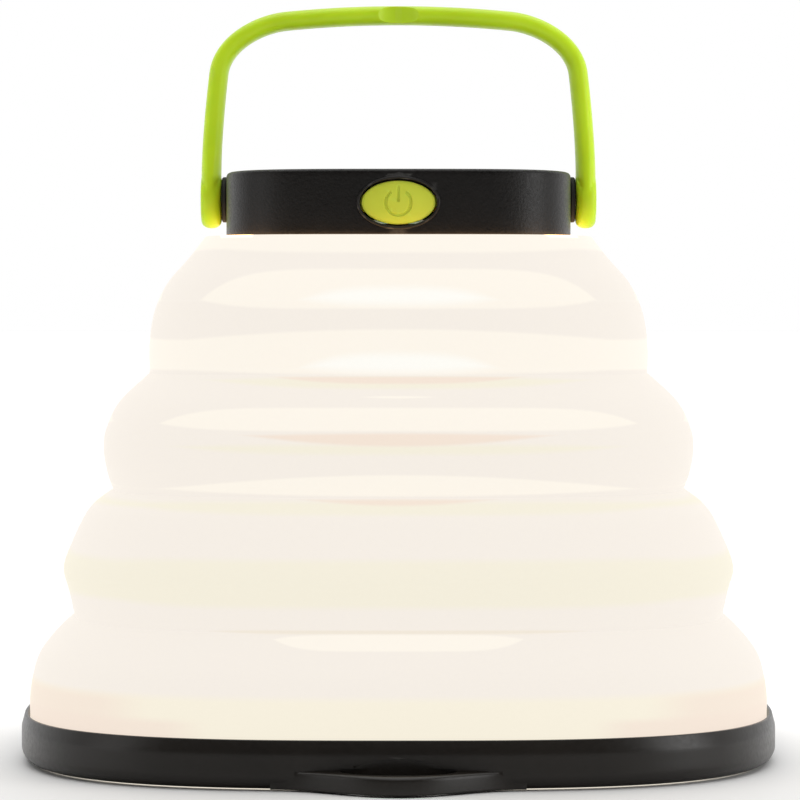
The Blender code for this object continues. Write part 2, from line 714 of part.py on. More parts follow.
def power_button():
    """The push button: a domed oval front, a flange behind the wall, and a stem to the switch."""
    levels = [
        (BUTTON_FRONT + drop, BUTTON_HALF_WIDTH * share, BUTTON_HALF_TALL * share)
        for drop, share in ((0, 0.62), (0.00006, 0.80), (0.00020, 0.94), (0.00045, 1), (0.00175, 1))
    ]
    levels += [
        (-0.0249, 0.0050, 0.0020), (-0.0244, 0.0050, 0.0020), (-0.0244, 0.0066, 0.0020),
        (-0.0238, 0.0066, 0.0020), (-0.0238, 0.0013, 0.0013), (-0.0214, 0.0013, 0.0013),
    ]
    loops = [
        ellipse_loop((0, y, BUTTON_HEIGHT), "Y", half_wide, half_tall, 32)
        for y, half_wide, half_tall in levels
    ]
    skin("power_button", loops, "lime_rubber")
    plunger = ((-0.0212, 0.0009), (-0.0186, 0.0009))
    turned("switch_plunger", (0, 0, BUTTON_HEIGHT), "Y", plunger, "steel")


def port_cover():
    """The rubber cover over the charging port: a flap hinged on its lower outer edge, and its plug."""
    low = (-COVER_HALF_WIDTH, COVER_BACK, COVER_BOTTOM)
    flap = box("usb_cover", low, (COVER_HALF_WIDTH, CAP_HALF, COVER_TOP), "black_rubber")
    low = (-0.0039, 0.0245, PORT_HEIGHT - 0.0012)
    high = (0.0039, 0.0259, PORT_HEIGHT + 0.0012)
    join(flap, box("cover_plug_joined", low, high))


def main():
    clear_scene()
    profile = ((0.0021, 0.00095), (0.0063, 0.00095), (0.0063, 0.0018), (0.0080, 0.0018))
    base_tools = screw_cutters("base_screw_cutter", base_screw_places(), profile)
    profile = ((0.07435, 0.0022), (0.07675, 0.0022), (0.07675, 0.0013), (0.08085, 0.0013))
    cap_tools = screw_cutters("cap_screw_cutter", cap_screw_places(), profile)
    base_ring(base_tools)
    bottom_lens()
    base_clamp(base_tools)
    bellows(base_tools + cap_tools)
    mesh = screw_mesh("base_screw", 0.0040, 0.00075, 0.0016, 0.0006)
    places = [(x, y, 0.00645) for x, y, _ in base_screw_places()]
    copies("base_screw", mesh, places, "steel", (math.pi, 0.0, 0.0))
    cap_shell()
    cap_floor(cap_tools)
    cap_clamp(cap_tools)
    mesh = screw_mesh("cap_screw", 0.0082, 0.0010, 0.0019, 0.0008)
    copies("cap_screw", mesh, [(x, y, 0.07660) for x, y, _ in cap_screw_places()], "steel")
    mesh = screw_mesh("board_screw", 0.0024, 0.0007, 0.0015, 0.0006)
    places = [(side * BOARD_SCREW_X, 0.0, BOARD_TOP + 0.0002) for side in (-1, 1)]
    copies("board_screw", mesh, places, "steel", (math.pi, 0.0, 0.0))
    light_parts()
    board_parts()
    solar_parts()
    pivots()
    handle()
    power_button()
    port_cover()


main()
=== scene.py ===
"""Looks of the collapsible camping lantern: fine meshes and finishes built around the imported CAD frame."""

import json
import math

import bmesh
import bpy
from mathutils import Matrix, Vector


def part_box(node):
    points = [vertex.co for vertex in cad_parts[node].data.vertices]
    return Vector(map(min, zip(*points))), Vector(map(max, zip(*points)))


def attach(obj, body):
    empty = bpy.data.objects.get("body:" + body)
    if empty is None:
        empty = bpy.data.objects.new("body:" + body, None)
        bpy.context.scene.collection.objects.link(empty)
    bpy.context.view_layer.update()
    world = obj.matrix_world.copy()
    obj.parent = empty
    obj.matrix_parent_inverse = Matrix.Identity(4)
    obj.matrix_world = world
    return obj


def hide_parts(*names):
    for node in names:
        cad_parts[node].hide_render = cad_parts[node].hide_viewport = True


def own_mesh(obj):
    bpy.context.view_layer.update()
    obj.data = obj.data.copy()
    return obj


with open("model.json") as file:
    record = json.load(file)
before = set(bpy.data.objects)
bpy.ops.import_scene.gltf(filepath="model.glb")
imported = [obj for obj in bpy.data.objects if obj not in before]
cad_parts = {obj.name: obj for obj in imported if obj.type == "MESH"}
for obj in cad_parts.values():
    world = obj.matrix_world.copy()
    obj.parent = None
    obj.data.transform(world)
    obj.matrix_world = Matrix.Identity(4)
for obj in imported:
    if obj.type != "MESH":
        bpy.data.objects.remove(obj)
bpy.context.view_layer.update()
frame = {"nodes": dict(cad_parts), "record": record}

# Sizes are in metres. A "half" is half the width of a rounded-square outline, and a "power" is the
# exponent of that outline: 2 is a circle, and higher is squarer.
SIDES = 224
ROUND_SIDES = 64
FINE_SIDES = 96
OVAL_SIDES = 128

RING_LOW, RING_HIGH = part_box("base_ring")
LENS_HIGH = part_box("bottom_lens")[1]
BELLOWS_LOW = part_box("bellows")[0]
CAP_LOW, CAP_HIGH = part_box("cap_shell")
HANDLE_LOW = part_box("handle")[0]
BUTTON_LOW, BUTTON_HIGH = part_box("power_button")
PANEL_LOW, PANEL_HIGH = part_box("solar_panel")
WINDOW_LOW, WINDOW_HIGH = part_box("solar_window")
WASHER_LOW, WASHER_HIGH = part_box("pivot_washer_right")

# Base ring: its rim, bevel, wall, rounded foot and inward floor
BASE_HALF = RING_HIGH.x
BASE_POWER = 3.0
RING_TOP = RING_HIGH.z
RING_BOTTOM = RING_LOW.z
RIM_OUTER = BASE_HALF - 0.0006
RIM_INNER = BASE_HALF - 0.0010
RIM_RADIUS = 0.00015
RIM_EDGE = 0.0001
BEVEL = ((0.00012, 0.0058), (0.00004, 0.0055))
WALL_TOP = 0.0051
WALL_ROW = 0.0004
WALL_ROWS = 6
RING_FLOOR_BOTTOM = 0.0019
RING_FLOOR_TOP = 0.0039
RING_OPENING = 0.0475
RING_FOOT_RADIUS = 0.0022
LENS_RECESS = 0.0549

# Hang loop: a lip below the front wall
LOOP_HALF_WIDTH = 0.0180
LOOP_ROOT = 0.0562
LOOP_REACH = -RING_LOW.y
LOOP_BACK = 0.0551
LOOP_BOTTOM = 0.00025
LOOP_TOP = 0.0029
LOOP_TOP_EDGE = 0.0007
LOOP_BOTTOM_EDGE = 0.00025
LOOP_STEPS = 72

# Slot through the lip: (height above the lip's underside or top, growth of the outline) rows
SLOT_HALF_WIDTH = 0.0079
SLOT_DEPTH = 0.0047
SLOT_BACK = 0.0568
SLOT_LOW_ROWS = ((-0.0010, 0.00030), (0.0, 0.00022), (0.0002, 0.0))
SLOT_HIGH_ROWS = ((-0.00045, 0.0), (-0.00020, 0.00008), (0.0, 0.00030), (0.0004, 0.00030))
SLOT_ACROSS_POWER = 2.4
SLOT_BOW_POWER = 1.8
SLOT_STEPS = 48

# Shallow hollow in the wall above the slot
HOLLOW_Y = -0.0574
HOLLOW_Z = 0.0019
HOLLOW_HALF_WIDTH = 0.0077
HOLLOW_HALF_TALL = 0.0029
HOLLOW_HALF_DEEP = 0.0009
HOLLOW_STEPS = 16

# Bottom lens: (start, depth) of each groove in its underside
LENS_EDGE = 0.0003
LENS_MIDDLE = 0.001
LENS_GROOVES = ((0.0190, 0.00015), (0.0350, 0.00015), (LENS_HIGH.x - 0.0022, 0.0002))
GROOVE_WIDTH = 0.0012
GROOVE_SLOPE = 0.0002

# Light cap
CAP_HALF = CAP_HIGH.x
CAP_POWER = 3.6
CAP_WALL = 0.0015
CAP_BOTTOM = CAP_LOW.z
CAP_TOP = CAP_HIGH.z
CAP_CEILING = CAP_TOP - 0.0026
CAP_EDGE = 0.0006
CAP_FOOT_EDGE = 0.0001
CAP_ROWS = 14
SOLAR_HALF = PANEL_HIGH.x
SOLAR_RECESS_FLOOR = PANEL_LOW.z - 0.0002
RECESS_GAP = 0.0003
RECESS_EDGE = 0.00015

# Bellows
BELLOWS_WALL = 0.0012
BELLOWS_FOOT = BELLOWS_LOW.z
BELLOWS_FOOT_INNER = 0.0495
BELLOWS_TOP = 0.07860
BELLOWS_TOP_INNER = 0.0205
OUTSIDE_STEPS = 7
INSIDE_STEPS = 2
# Each tier from its upper fold to its lower fold: (half, height) points.
BELLOWS_TIERS = (
    (
        (0.0295, 0.07875), (0.0319, 0.0756), (0.0352, 0.0717),
        (0.0371, 0.0675), (0.0379, 0.0626), (0.0379, 0.0582),
    ),
    (
        (0.0379, 0.0582), (0.0423, 0.0540), (0.0443, 0.0501),
        (0.0448, 0.0470), (0.0443, 0.0434), (0.0434, 0.0407),
    ),
    (
        (0.0434, 0.0407), (0.0470, 0.0377), (0.0497, 0.0324),
        (0.0508, 0.0289), (0.0501, 0.0258), (0.0492, 0.0217),
    ),
    (
        (0.0492, 0.0217), (0.0517, 0.0195), (0.0544, 0.0161),
        (0.0555, 0.0126), (0.0559, 0.0097), (0.0559, 0.0072),
    ),
)

# Button and its recessed mark
BUTTON_HEIGHT = (BUTTON_LOW.z + BUTTON_HIGH.z) / 2
BUTTON_FRONT = BUTTON_LOW.y
BUTTON_HALF_WIDTH = 0.00545
BUTTON_HALF_TALL = (BUTTON_HIGH.z - BUTTON_LOW.z) / 2
BUTTON_GAP = 0.00025
BUTTON_DOME = 0.00042
BUTTON_DOME_POWER = 1.15
BUTTON_BACK = -0.0249
# The button's neck, flange and stem: (y, half width, half height) rows.
BUTTON_BODY = (
    (BUTTON_BACK, 0.0050, 0.0020), (-0.0244, 0.0050, 0.0020), (-0.0244, 0.0066, 0.0020),
    (-0.0238, 0.0066, 0.0020), (-0.0238, 0.0013, 0.0013), (-0.0214, 0.0013, 0.0013),
)
RIDGE_WIDTH = 0.00050
RIDGE_ROOT = 0.0006
HOLE_FRONT = -0.028
HOLE_BACK = -0.024
MARK_RADIUS = 0.00188
MARK_HALF_LINE = 0.00025
MARK_MOUTH = 1.5
MARK_FLOOR = 0.7
MARK_CLEARANCE = 0.0004
MARK_DEPTH = 0.00022
MARK_HALF_OPENING = 36
MARK_STEPS = 48
BAR_LOW = 0.0001
BAR_HIGH = 0.0026

# Charging port, its cover's pocket and the cover: each block is a low and a high corner
PORT_HEIGHT = 0.0834
PORT_HOLE = ((-0.0045, 0.024, PORT_HEIGHT - 0.0018), (0.0045, 0.027, PORT_HEIGHT + 0.0018))
COVER_POCKET = ((-0.0063, 0.0254, 0.0799), (0.0063, 0.0285, 0.0866))
POCKET_EDGE = 0.0006
COVER_FLAP = ((-0.0061, 0.0256, 0.0801), (0.0061, 0.0263, 0.0864))
COVER_FLAP_EDGE = 0.00025
COVER_PLUG = ((-0.0039, 0.0245, PORT_HEIGHT - 0.0012), (0.0039, 0.0259, PORT_HEIGHT + 0.0012))
COVER_PLUG_EDGE = 0.0004
NOTCH_CENTRE = (0.0, 0.0272, 0.0863)
NOTCH = ((-0.0008, 0.0014), (0.0006, 0.0014))

# Solar panel
BACKING_THICKNESS = 0.00025
CELL_COUNT = 4
CELL_GAP = 0.0004
CELL_LIFT = 0.00027
CELL_EDGE = 0.00008
CELLS_SHARE = 0.93
END_CELL_SHARE = 0.90
WINDOW_EDGE = 0.0001
FINGER_PITCH = 0.0016

# Pivots: (distance from the middle, radius) profiles along X
PIVOT_HEIGHT = (WASHER_LOW.z + WASHER_HIGH.z) / 2
PIVOT_BORE = ((0.0230, 0.0020), (0.0247, 0.0020), (0.0247, 0.00145), (0.0280, 0.00145))
PIN_SHAFT = (
    (0.0234, 0.0012), (0.0238, 0.0017), (0.0245, 0.0017),
    (0.0246, 0.0013), (0.0295, 0.0013), (0.0295, 0.0024),
)
PIN_DOME_START = 0.0298
PIN_DOME_HEIGHT = 0.0004
PIN_HEAD_RADIUS = 0.0024
WASHER = (
    (0.0264, 0.0033), (0.0266, 0.0035), (0.0270, 0.0035),
    (0.0272, 0.0033), (0.0272, 0.00155), (0.0264, 0.00155),
)

# Bail: an eye on each end, leaning legs, bent corners and a slightly arched top bar
EYE_RADIUS = PIVOT_HEIGHT - HANDLE_LOW.z
EYE_INNER = 0.0273
EYE_OUTER = 0.0304
EYE_EDGE = 0.0013
EYE_SQUARENESS = 0.85
PIN_ROOM = ((0.0265, 0.00155), (0.0293, 0.00155), (0.0293, 0.0027), (0.0310, 0.0027))
LEG_X = 0.02885
LEG_LEAN = 0.00115
LEG_LEAN_POWER = 1.6
LEAN_Z = 0.0886
BEND_Z = 0.1041
BEND_PULL = 0.0046
TOP_Z = 0.11305
ARCH = 0.00085
ARCH_X = 0.0172
LEG_STEPS = 20
BEND_STEPS = 32
ARCH_STEPS = 24
BAR_HALF_DEPTH = 0.00275
BAR_HALF_THICK = 0.00152
BAR_THINNING = 0.00008
BAR_POWER = 2.6
BAR_SIDES = 40
FLARE = 0.0110
FLARE_INSET = 0.0001
THUMB_CENTRE = (0.0, -0.0067, 0.0)
THUMB_HOLLOW = ((0.105, 0.0050), (0.120, 0.0050))

# Camera and studio
CAMERA_PLACE = Vector((0.00023, -0.600, 0.0662))
CAMERA_AIM = Vector((0.00023, 0.0, 0.0538))
CAMERA_LENS = 174.8
CAMERA_SENSOR = 36.0
SOFTBOX_AIM = Vector((0.0, 0.0, 0.05))
SOFTBOX_X = 0.60
SOFTBOX_Y = -0.20
SOFTBOX_Z = 0.20
SOFTBOX_WIDTH = 0.30
SOFTBOX_HEIGHT = 0.40
LEFT_BOX_POWER = 0.5
RIGHT_BOX_POWER = 1.5
SKY_POWER = 2.2
SKY_SPREAD = 80.0
ROOM_DIM = 0.14
ROOM_BRIGHT = 0.95
FLOOR_SIZE = 60.0
# Painted shadow on the floor, darkest round this point in front of the lantern.
FLOOR_SHADOW_MIDDLE = (0.0, -0.08, 0.0)
FLOOR_SHADOW = (0.665, 0.660, 0.650)
FLOOR_FAR = (0.97, 0.97, 0.97)

# Colours. A pair is the two ends that a finish varies between.
BLACK = (0.0075, 0.0055, 0.0038)
SOFT_BLACK = (0.0110, 0.0085, 0.0062)
CHARCOAL = (0.0028, 0.0021, 0.0015)
SOFT_CHARCOAL = (0.0060, 0.0048, 0.0038)
# Painted highlight on the sharp edges of the black and charcoal plastics.
EDGE_HIGHLIGHT_GREY = (0.085, 0.082, 0.078)
LIME_DEEP = (0.460, 0.665, 0.014)
LIME = (0.535, 0.765, 0.020)
# Painted highlight on the sharp edges of the lime plastics.
LIME_EDGE_HIGHLIGHT = (0.520, 0.680, 0.080)
BUTTON_LIMES = ((0.480, 0.540, 0.032), (0.565, 0.625, 0.050))
RUBBER_BLACKS = ((0.012, 0.012, 0.012), (0.022, 0.022, 0.022))
EPOXY_BLACKS = ((0.014, 0.014, 0.015), (0.026, 0.026, 0.027))
WIRE_REDS = ((0.42, 0.016, 0.012), (0.55, 0.024, 0.018))
WIRE_BLACKS = ((0.012, 0.012, 0.012), (0.020, 0.020, 0.020))
SILICONE_TONES = ((0.055, 0.052, 0.047), (0.075, 0.071, 0.064))
FROST_GLOWS = ((0.98, 0.90, 0.76), (1.0, 0.95, 0.84))
FROST_TONES = ((0.20, 0.19, 0.17), (0.26, 0.25, 0.23))
STEEL_TONES = ((0.50, 0.50, 0.52), (0.66, 0.66, 0.67))
MASK_GREENS = ((0.012, 0.105, 0.040), (0.035, 0.235, 0.090))
TIN = (0.62, 0.62, 0.60)
PACKAGE_AND_PHOSPHOR = ((0.78, 0.78, 0.75), (0.90, 0.72, 0.18))
PHOSPHOR_GLOWS = ((0.0, 0.0, 0.0), (1.0, 0.86, 0.55))
FOIL_TONES = ((0.62, 0.63, 0.64), (0.76, 0.77, 0.78))
FOAM_TONES = ((0.010, 0.010, 0.010), (0.075, 0.075, 0.078))
SILICON_TONES = ((0.006, 0.010, 0.030), (0.012, 0.026, 0.085))
SILVER = (0.42, 0.43, 0.45)
WINDOW_TINTS = ((0.93, 0.95, 0.97), (1.0, 1.0, 1.0))

# The bellows' glow: light and shade painted into its emission colour
GLOW_BASE = (0.917, 0.857, 0.785)
GLOW_BRIGHT = (0.985, 0.925, 0.830)
GLOW_HOT = (1.0, 0.985, 0.93)
# Painted shade in the folds, darker and warmer than the base glow.
GLOW_FOLD_SHADE = (0.905, 0.775, 0.665)
GLOW_CREAM = (0.910, 0.860, 0.720)
GLOW_FOOT = (0.940, 0.880, 0.735)
GLOW_PEACH = (0.910, 0.780, 0.675)
# Painted shade along the lowest crease.
GLOW_CREASE_SHADE = (0.890, 0.815, 0.700)
# Painted light: the flat flange close under the cap glows far brighter than the rest of the bellows, to light
# the parts near it.
GLOW_SHOULDER = (5.0, 3.0, 1.4)
FOOT_GLOW_LOW = 0.0121
FOOT_GLOW_HIGH = 0.0136
PEACH_STRENGTH = 0.8
# Painted peach light, dimmer than the rest, in the corners of the foot: (where it starts and is full along
# the face, full and end heights).
PEACH_CORNERS = ((0.034, 0.044, 0.0118, 0.0136), (0.026, 0.034, 0.0088, 0.0102))
SIDE_FACE_FALL = 3.4
# Eye-shaped patches of painted light and painted shade: (low and high at the face's middle, height of both
# tips, half length, bluntness of the tips, softness of the edge, colour).
GLOW_PATCHES = (
    (0.0758, 0.0806, 0.0781, 0.0360, 4, 0.0006, GLOW_BRIGHT),
    (0.0676, 0.0738, 0.0690, 0.0292, 6, 0.0005, GLOW_BRIGHT),
    (0.0679, 0.0714, 0.0690, 0.0150, 3, 0.0014, GLOW_HOT),
    (0.0580, 0.0650, 0.0600, 0.0560, 2, 0.0005, GLOW_BRIGHT),
    (0.0581, 0.0618, 0.0591, 0.0150, 3, 0.0014, GLOW_HOT),
    (0.0560, 0.0581, 0.0575, 0.0290, 3, 0.0006, GLOW_CREAM),
    (0.0568, 0.0581, 0.0580, 0.0190, 3, 0.0004, GLOW_FOLD_SHADE),
    (0.0548, 0.0553, 0.0551, 0.0060, 2, 0.0002, GLOW_BRIGHT),
    (0.0501, 0.0537, 0.0511, 0.0350, 7, 0.0004, GLOW_BRIGHT),
    (0.0466, 0.0486, 0.0480, 0.0340, 4, 0.0008, GLOW_CREAM),
    (0.0479, 0.0501, 0.0497, 0.0235, 2, 0.0005, GLOW_FOLD_SHADE),
    (0.0407, 0.0441, 0.0416, 0.0360, 2, 0.0004, GLOW_BRIGHT),
    (0.0380, 0.0404, 0.0395, 0.0450, 4, 0.0008, GLOW_CREAM),
    (0.0394, 0.0406, 0.0405, 0.0150, 2, 0.0005, GLOW_FOLD_SHADE),
    (0.0248, 0.0325, 0.0290, 0.0520, 8, 0.0012, GLOW_CREAM),
    (0.0214, 0.0222, 0.0218, 0.0280, 6, 0.0003, GLOW_CREASE_SHADE),
    (0.0192, 0.0216, 0.0209, 0.0180, 6, 0.0003, GLOW_BRIGHT),
)
OUTER_SOFTNESS = 0.2


# Shader node helpers

def principled(tree):
    return tree.nodes["Principled BSDF"]


def new_material(name, **settings):
    """A Principled material with constant values on the shader's own sockets."""
    made = bpy.data.materials.new(name)
    made.use_nodes = True
    shader = principled(made.node_tree)
    for key, value in settings.items():
        shader.inputs[key.replace("_", " ")].default_value = value
    return made


def feed(tree, socket, value):
    """Gives an input a constant, or links another node's output to it."""
    if isinstance(value, bpy.types.NodeSocket):
        tree.links.new(value, socket)
    else:
        socket.default_value = value


def add(tree, kind, options=None, **inputs):
    """Adds a node. Inputs are constants or sockets to link; options are the node's own settings."""
    made = tree.nodes.new(kind)
    for key, value in (options or {}).items():
        setattr(made, key, value)
    for key, value in inputs.items():
        feed(tree, made.inputs[key.replace("_", " ")], value)
    return made.outputs


def wire(tree, **sockets):
    """Links outputs to the shader's inputs of those names."""
    for key, socket in sockets.items():
        tree.links.new(socket, principled(tree).inputs[key.replace("_", " ")])


def object_place(tree):
    """Object coordinates, which are metres in the row frame."""
    return add(tree, "ShaderNodeTexCoord")["Object"]


def noise(tree, scale, detail, **more):
    where = object_place(tree)
    return add(tree, "ShaderNodeTexNoise", Vector=where, Scale=scale, Detail=detail, **more)["Fac"]


def cells(tree, scale, output="Distance", **options):
    return add(tree, "ShaderNodeTexVoronoi", options, Vector=object_place(tree), Scale=scale)[output]


def bump(tree, height, depth):
    return add(tree, "ShaderNodeBump", Height=height, Distance=depth)["Normal"]


def blend_colours(tree, amount, first, second):
    """A colour between two: each is an RGB tuple or a socket."""
    mix = tree.nodes.new("ShaderNodeMix")
    mix.data_type = "RGBA"
    for value, socket in ((amount, mix.inputs[0]), (first, mix.inputs[6]), (second, mix.inputs[7])):
        feed(tree, socket, (*value, 1.0) if isinstance(value, tuple) else value)
    return mix.outputs[2]


def remap(tree, value, low, high, to_low, to_high, smooth=False):
    """Low..high becomes to_low..to_high, and stays there beyond both ends."""
    made = tree.nodes.new("ShaderNodeMapRange")
    if smooth:
        made.interpolation_type = "SMOOTHSTEP"
    tree.links.new(value, made.inputs["Value"])
    for key, number in (("From Min", low), ("From Max", high), ("To Min", to_low), ("To Max", to_high)):
        made.inputs[key].default_value = number
    return made.outputs["Result"]


def spread(tree, pattern, low, high):
    """The middle range of a noise, stretched from low to high."""
    return remap(tree, pattern, 0.3, 0.7, low, high)


def calc(tree, operation, first, second=0.0):
    made = tree.nodes.new("ShaderNodeMath")
    made.operation = operation
    feed(tree, made.inputs[0], first)
    feed(tree, made.inputs[1], second)
    return made.outputs[0]


def vector_calc(tree, operation, first, second):
    made = tree.nodes.new("ShaderNodeVectorMath")
    made.operation = operation
    feed(tree, made.inputs[0], first)
    feed(tree, made.inputs[1], second)
    return made.outputs


# Camera and studio

def add_camera():
    """A long lens level with the bellows' upper tiers, a little over half a metre in front."""
    data = bpy.data.cameras.new("camera")
    data.sensor_width = CAMERA_SENSOR
    data.lens = CAMERA_LENS
    data.clip_start = 0.01
    data.clip_end = 20.0
    camera = bpy.data.objects.new("camera", data)
    camera.location = CAMERA_PLACE
    camera.rotation_euler = (CAMERA_AIM - CAMERA_PLACE).to_track_quat("-Z", "Y").to_euler()
    bpy.context.scene.collection.objects.link(camera)
    bpy.context.scene.camera = camera


def add_sky():
    """A broad light straight overhead that lights the floor evenly."""
    data = bpy.data.lights.new("overhead_sky", "SUN")
    data.energy = SKY_POWER
    data.angle = math.radians(SKY_SPREAD)
    bpy.context.scene.collection.objects.link(bpy.data.objects.new("overhead_sky", data))


def add_softbox(name, side, power):
    data = bpy.data.lights.new(name, "AREA")
    data.shape = "RECTANGLE"
    data.size = SOFTBOX_WIDTH
    data.size_y = SOFTBOX_HEIGHT
    data.energy = power
    light = bpy.data.objects.new(name, data)
    light.location = (side * SOFTBOX_X, SOFTBOX_Y, SOFTBOX_Z)
    light.rotation_euler = (SOFTBOX_AIM - light.location).to_track_quat("-Z", "Y").to_euler()
    bpy.context.scene.collection.objects.link(light)


def add_studio():
    """A white backdrop behind the lantern, a dimmer room in front, a sky overhead and a box on each side."""
    bpy.context.scene.view_settings.view_transform = "Standard"
    world = bpy.data.worlds.new("studio")
    bpy.context.scene.world = world
    world.use_nodes = True
    tree = world.node_tree
    background = tree.nodes["Background"]
    background.inputs["Color"].default_value = (1.0, 1.0, 1.0, 1.0)
    direction = add(tree, "ShaderNodeSeparateXYZ", Vector=add(tree, "ShaderNodeTexCoord")["Generated"])["Y"]
    backdrop = remap(tree, direction, -0.2, 0.5, ROOM_DIM, ROOM_BRIGHT, True)
    seen = add(tree, "ShaderNodeLightPath")["Is Camera Ray"]
    tree.links.new(calc(tree, "MAXIMUM", seen, backdrop), background.inputs["Strength"])
    add_sky()
    add_softbox("left_box", -1, LEFT_BOX_POWER)
    add_softbox("right_box", 1, RIGHT_BOX_POWER)


def add_floor():
    """A pale floor with a painted shadow: greyer in front of the lantern than further off."""
    mesh = bpy.data.meshes.new("floor")
    corners = [(x * FLOOR_SIZE, y * FLOOR_SIZE, 0.0) for x, y in ((-1, -1), (1, -1), (1, 1), (-1, 1))]
    mesh.from_pydata(corners, [], [(0, 1, 2, 3)])
    floor = bpy.data.objects.new("floor", mesh)
    bpy.context.scene.collection.objects.link(floor)
    made = new_material("studio_floor", Roughness=0.6, Specular_IOR_Level=0.1)
    tree = made.node_tree
    # Painted shadow: the floor is greyer the nearer it is to the middle.
    reach = vector_calc(tree, "DISTANCE", object_place(tree), FLOOR_SHADOW_MIDDLE)["Value"]
    away = remap(tree, reach, 0.02, 0.20, 0.0, 1.0, True)
    wire(tree, Base_Color=blend_colours(tree, away, FLOOR_SHADOW, FLOOR_FAR))
    mesh.materials.append(made)


# Finishes

def moulded(name, tones, roughness, grain, relief, edge_highlight=0.0, highlight_colour=None, **settings):
    """Moulded plastic or rubber: cloudy colour, fine grain in its relief and gloss, and paler sharp edges,
    which are a painted highlight.
    """
    made = new_material(name, **settings)
    tree = made.node_tree
    fine = noise(tree, grain, 4.0, Roughness=0.65)
    colour = blend_colours(tree, spread(tree, noise(tree, 90.0, 3.0), 0.0, 1.0), *tones)
    # Painted highlight: sharp convex edges turn paler, more so where the fine grain is high.
    if edge_highlight:
        edge = add(tree, "ShaderNodeNewGeometry")["Pointiness"]
        amount = calc(tree, "MULTIPLY", remap(tree, edge, 0.52, 0.62, 0.0, edge_highlight), fine)
        colour = blend_colours(tree, amount, colour, highlight_colour)
    wire(tree, Base_Color=colour, Roughness=spread(tree, fine, *roughness), Normal=bump(tree, fine, relief))
    return made


def eye_patch(tree, across, height, low, high, tip, reach, blunt, softness):
    """1 inside an eye-shaped patch of a bellows face: low to high at the middle, tip at both ends."""
    narrowing = calc(tree, "POWER", calc(tree, "DIVIDE", across, reach), blunt)
    above = calc(tree, "SUBTRACT", height, remap(tree, narrowing, 0.0, 1.0, low, tip))
    below = calc(tree, "SUBTRACT", remap(tree, narrowing, 0.0, 1.0, high, tip), height)
    nearest = calc(tree, "MINIMUM", above, below)
    return remap(tree, nearest, -softness * OUTER_SOFTNESS, softness, 0.0, 1.0, True)


def silicone_glow(tree):
    """Painted light and shade for each tier: brighter on its upper slope and painted darker in its folds."""
    where = add(tree, "ShaderNodeAttribute", {"attribute_name": "glow_place"})["Vector"]
    split = add(tree, "ShaderNodeSeparateXYZ", Vector=where)
    across = split["X"]
    height = split["Y"]
    foot = remap(tree, height, FOOT_GLOW_LOW, FOOT_GLOW_HIGH, 1.0, 0.0, True)
    colour = blend_colours(tree, foot, GLOW_BASE, GLOW_FOOT)
    for near, far, low, high in PEACH_CORNERS:
        outwards = remap(tree, across, near, far, 0.0, 1.0, True)
        downwards = remap(tree, height, low, high, PEACH_STRENGTH, 0.0, True)
        colour = blend_colours(tree, calc(tree, "MULTIPLY", outwards, downwards), colour, GLOW_PEACH)
    for *shape, tint in GLOW_PATCHES:
        colour = blend_colours(tree, eye_patch(tree, across, height, *shape), colour, tint)
    # Painted light: the flange under the cap glows far brighter.
    return blend_colours(tree, split["Z"], colour, GLOW_SHOULDER)


def silicone():
    """Milky silicone whose glow is painted into its emission colour."""
    made = new_material(
        "lit_silicone", Specular_IOR_Level=0.05, Emission_Strength=0.945,
        Subsurface_Weight=0.3, Subsurface_Scale=0.002, Subsurface_Radius=(1.0, 0.8, 0.6),
    )
    tree = made.node_tree
    fine = noise(tree, 1800.0, 3.0)
    wire(
        tree,
        Emission_Color=silicone_glow(tree),
        Base_Color=blend_colours(tree, fine, *SILICONE_TONES),
        Roughness=spread(tree, fine, 0.62, 0.80),
        Normal=bump(tree, fine, 0.00001),
    )
    return made


def lit_diffuser():
    """Frosted translucent plastic with light behind it."""
    made = new_material("lit_diffuser", Specular_IOR_Level=0.4, Emission_Strength=0.85)
    tree = made.node_tree
    frost = noise(tree, 2600.0, 3.0)
    wire(
        tree,
        Emission_Color=blend_colours(tree, noise(tree, 25.0, 2.0), *FROST_GLOWS),
        Base_Color=blend_colours(tree, frost, *FROST_TONES),
        Roughness=spread(tree, frost, 0.35, 0.60),
        Normal=bump(tree, frost, 0.00002),
    )
    return made


def turned_steel():
    """Zinc-plated steel with fine turning lines."""
    made = new_material("turned_steel", Metallic=1.0, Anisotropic=0.4)
    tree = made.node_tree
    lines = noise(tree, 5200.0, 2.0)
    wire(
        tree,
        Base_Color=blend_colours(tree, noise(tree, 300.0, 3.0), *STEEL_TONES),
        Roughness=spread(tree, lines, 0.22, 0.40),
        Normal=bump(tree, lines, 0.000004),
    )
    return made


def circuit_board_finish():
    """Green solder mask over a grid of traces, with tinned pads."""
    made = new_material("solder_mask", Specular_IOR_Level=0.5)
    tree = made.node_tree
    white = (1, 1, 1, 1)
    traces = add(
        tree, "ShaderNodeTexBrick", Vector=object_place(tree), Scale=1.0, Color1=white, Color2=white,
        Mortar=(0, 0, 0, 1), Mortar_Size=0.00016, Brick_Width=0.0046, Row_Height=0.0013,
    )["Fac"]
    tinned = remap(tree, cells(tree, 260.0), 0.13, 0.16, 1.0, 0.0)
    mask = blend_colours(tree, traces, *MASK_GREENS)
    wire(
        tree,
        Base_Color=blend_colours(tree, tinned, mask, TIN),
        Metallic=tinned,
        Roughness=remap(tree, traces, 0.0, 1.0, 0.30, 0.42),
        Normal=bump(tree, traces, 0.00003),
    )
    return made


